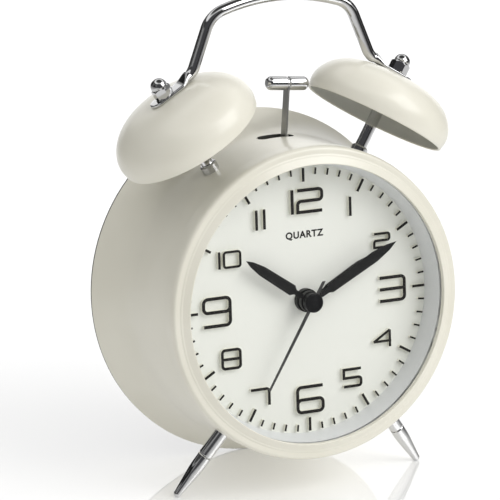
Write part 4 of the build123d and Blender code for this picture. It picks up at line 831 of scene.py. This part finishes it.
VIEW_DISTANCE = 1.150
towards_camera = Vector((sin(VIEW_TURN) * cos(VIEW_RISE), -cos(VIEW_TURN) * cos(VIEW_RISE), sin(VIEW_RISE)))
LOOK_AT = CLOCK @ Vector((-19.2, 0, 18.2))
world = bpy.data.worlds.new("tent")
world.use_nodes = True
sky = Flow(world.node_tree)
direction = sky.node("ShaderNodeTexCoord", out=0)
parts = world.node_tree.nodes.new("ShaderNodeSeparateXYZ")
world.node_tree.links.new(direction.socket, parts.inputs[0])
east, north, high = (Flow(world.node_tree, parts.outputs[i]) for i in range(3))
sideways = east * cos(VIEW_TURN) + north * sin(VIEW_TURN)
flags = sideways.node("ShaderNodeValToRGB", {"Fac": sideways * 0.5 + 0.5}, stops=[
    (0.0, (0.5, 0.5, 0.5)), (0.03, (0.01, 0.01, 0.01)), (0.15, (0.01, 0.01, 0.01)), (0.17, (0.35, 0.35, 0.35)),
    (0.22, (0.45, 0.45, 0.45)), (0.25, (1.0, 1.0, 1.0)), (0.70, (1.0, 1.0, 1.0)), (0.73, (0.3, 0.3, 0.3)),
    (0.76, (0.25, 0.25, 0.25)), (0.79, (0.01, 0.01, 0.01)),
    (0.95, (0.01, 0.01, 0.01)), (0.99, (0.45, 0.45, 0.45)),
])
horizon = high.between(-0.02, 0.03) * (1 - high.between(0.15, 0.21))
flags = (horizon * 0.9).tint(flags, (0.02, 0.02, 0.02, 1))
ceiling = high.node("ShaderNodeValToRGB", {"Fac": high}, stops=[
    (0.0, (1, 1, 1)), (0.38, (1, 1, 1)), (0.42, (0.06, 0.06, 0.06)), (0.64, (0.06, 0.06, 0.06)),
    (0.68, (1, 1, 1)), (0.82, (1, 1, 1)), (0.9, (0.10, 0.10, 0.10)), (1.0, (0.05, 0.05, 0.05)),
])
mirrored = high.between(0.36, 0.42).tint(flags, ceiling)
to_camera = east * towards_camera.x + north * towards_camera.y + high * towards_camera.z
mirrored = to_camera.between(0.74, 0.90).tint(mirrored, (0.07, 0.07, 0.075, 1))
mirrored = to_camera.between(-0.92, -0.72).tint((1.45, 1.45, 1.45, 1), mirrored)
tent = high.between(-0.1, 0.9).tint((0.62, 0.62, 0.62, 1), (0.74, 0.74, 0.74, 1))
glossy_ray = sky.node("ShaderNodeLightPath", out=3)
camera_ray = sky.node("ShaderNodeLightPath", out=0)
shown = camera_ray.tint(glossy_ray.tint(tent, mirrored), (1.05, 1.05, 1.05, 1))
background = world.node_tree.nodes["Background"]
world.node_tree.links.new(shown.socket, background.inputs["Color"])
background.inputs["Strength"].default_value = 1.0
bpy.context.scene.world = world


KEY_AT, KEY_AIM, KEY_SIDE, KEY_POWER = Vector((0.72, -0.88, 0.95)), Vector((0, 0, 0.08)), 1.0, 10.5
key_lamp = bpy.data.lights.new("key", "AREA")
key_lamp.shape = "RECTANGLE"
key_lamp.size = key_lamp.size_y = KEY_SIDE
key_lamp.energy = KEY_POWER
key = bpy.data.objects.new("key", key_lamp)
bpy.context.scene.collection.objects.link(key)
key.location = KEY_AT
key.rotation_mode = "QUATERNION"
key.rotation_quaternion = (KEY_AIM - KEY_AT).to_track_quat("-Z", "Y")

camera = bpy.data.objects.new("camera", bpy.data.cameras.new("camera"))
bpy.context.scene.collection.objects.link(camera)
camera.data.sensor_width = 36.0
camera.data.lens = 267.0
camera.data.clip_start, camera.data.clip_end = 0.05, 50.0
camera.location = LOOK_AT + VIEW_DISTANCE * towards_camera
camera.rotation_mode = "QUATERNION"
camera.rotation_quaternion = ((-towards_camera).to_track_quat("-Z", "Y").to_matrix().to_4x4()
                              @ Matrix.Rotation(VIEW_ROLL, 4, "Z")).to_quaternion()
bpy.context.scene.camera = camera
bpy.context.scene.view_settings.view_transform = "Standard"
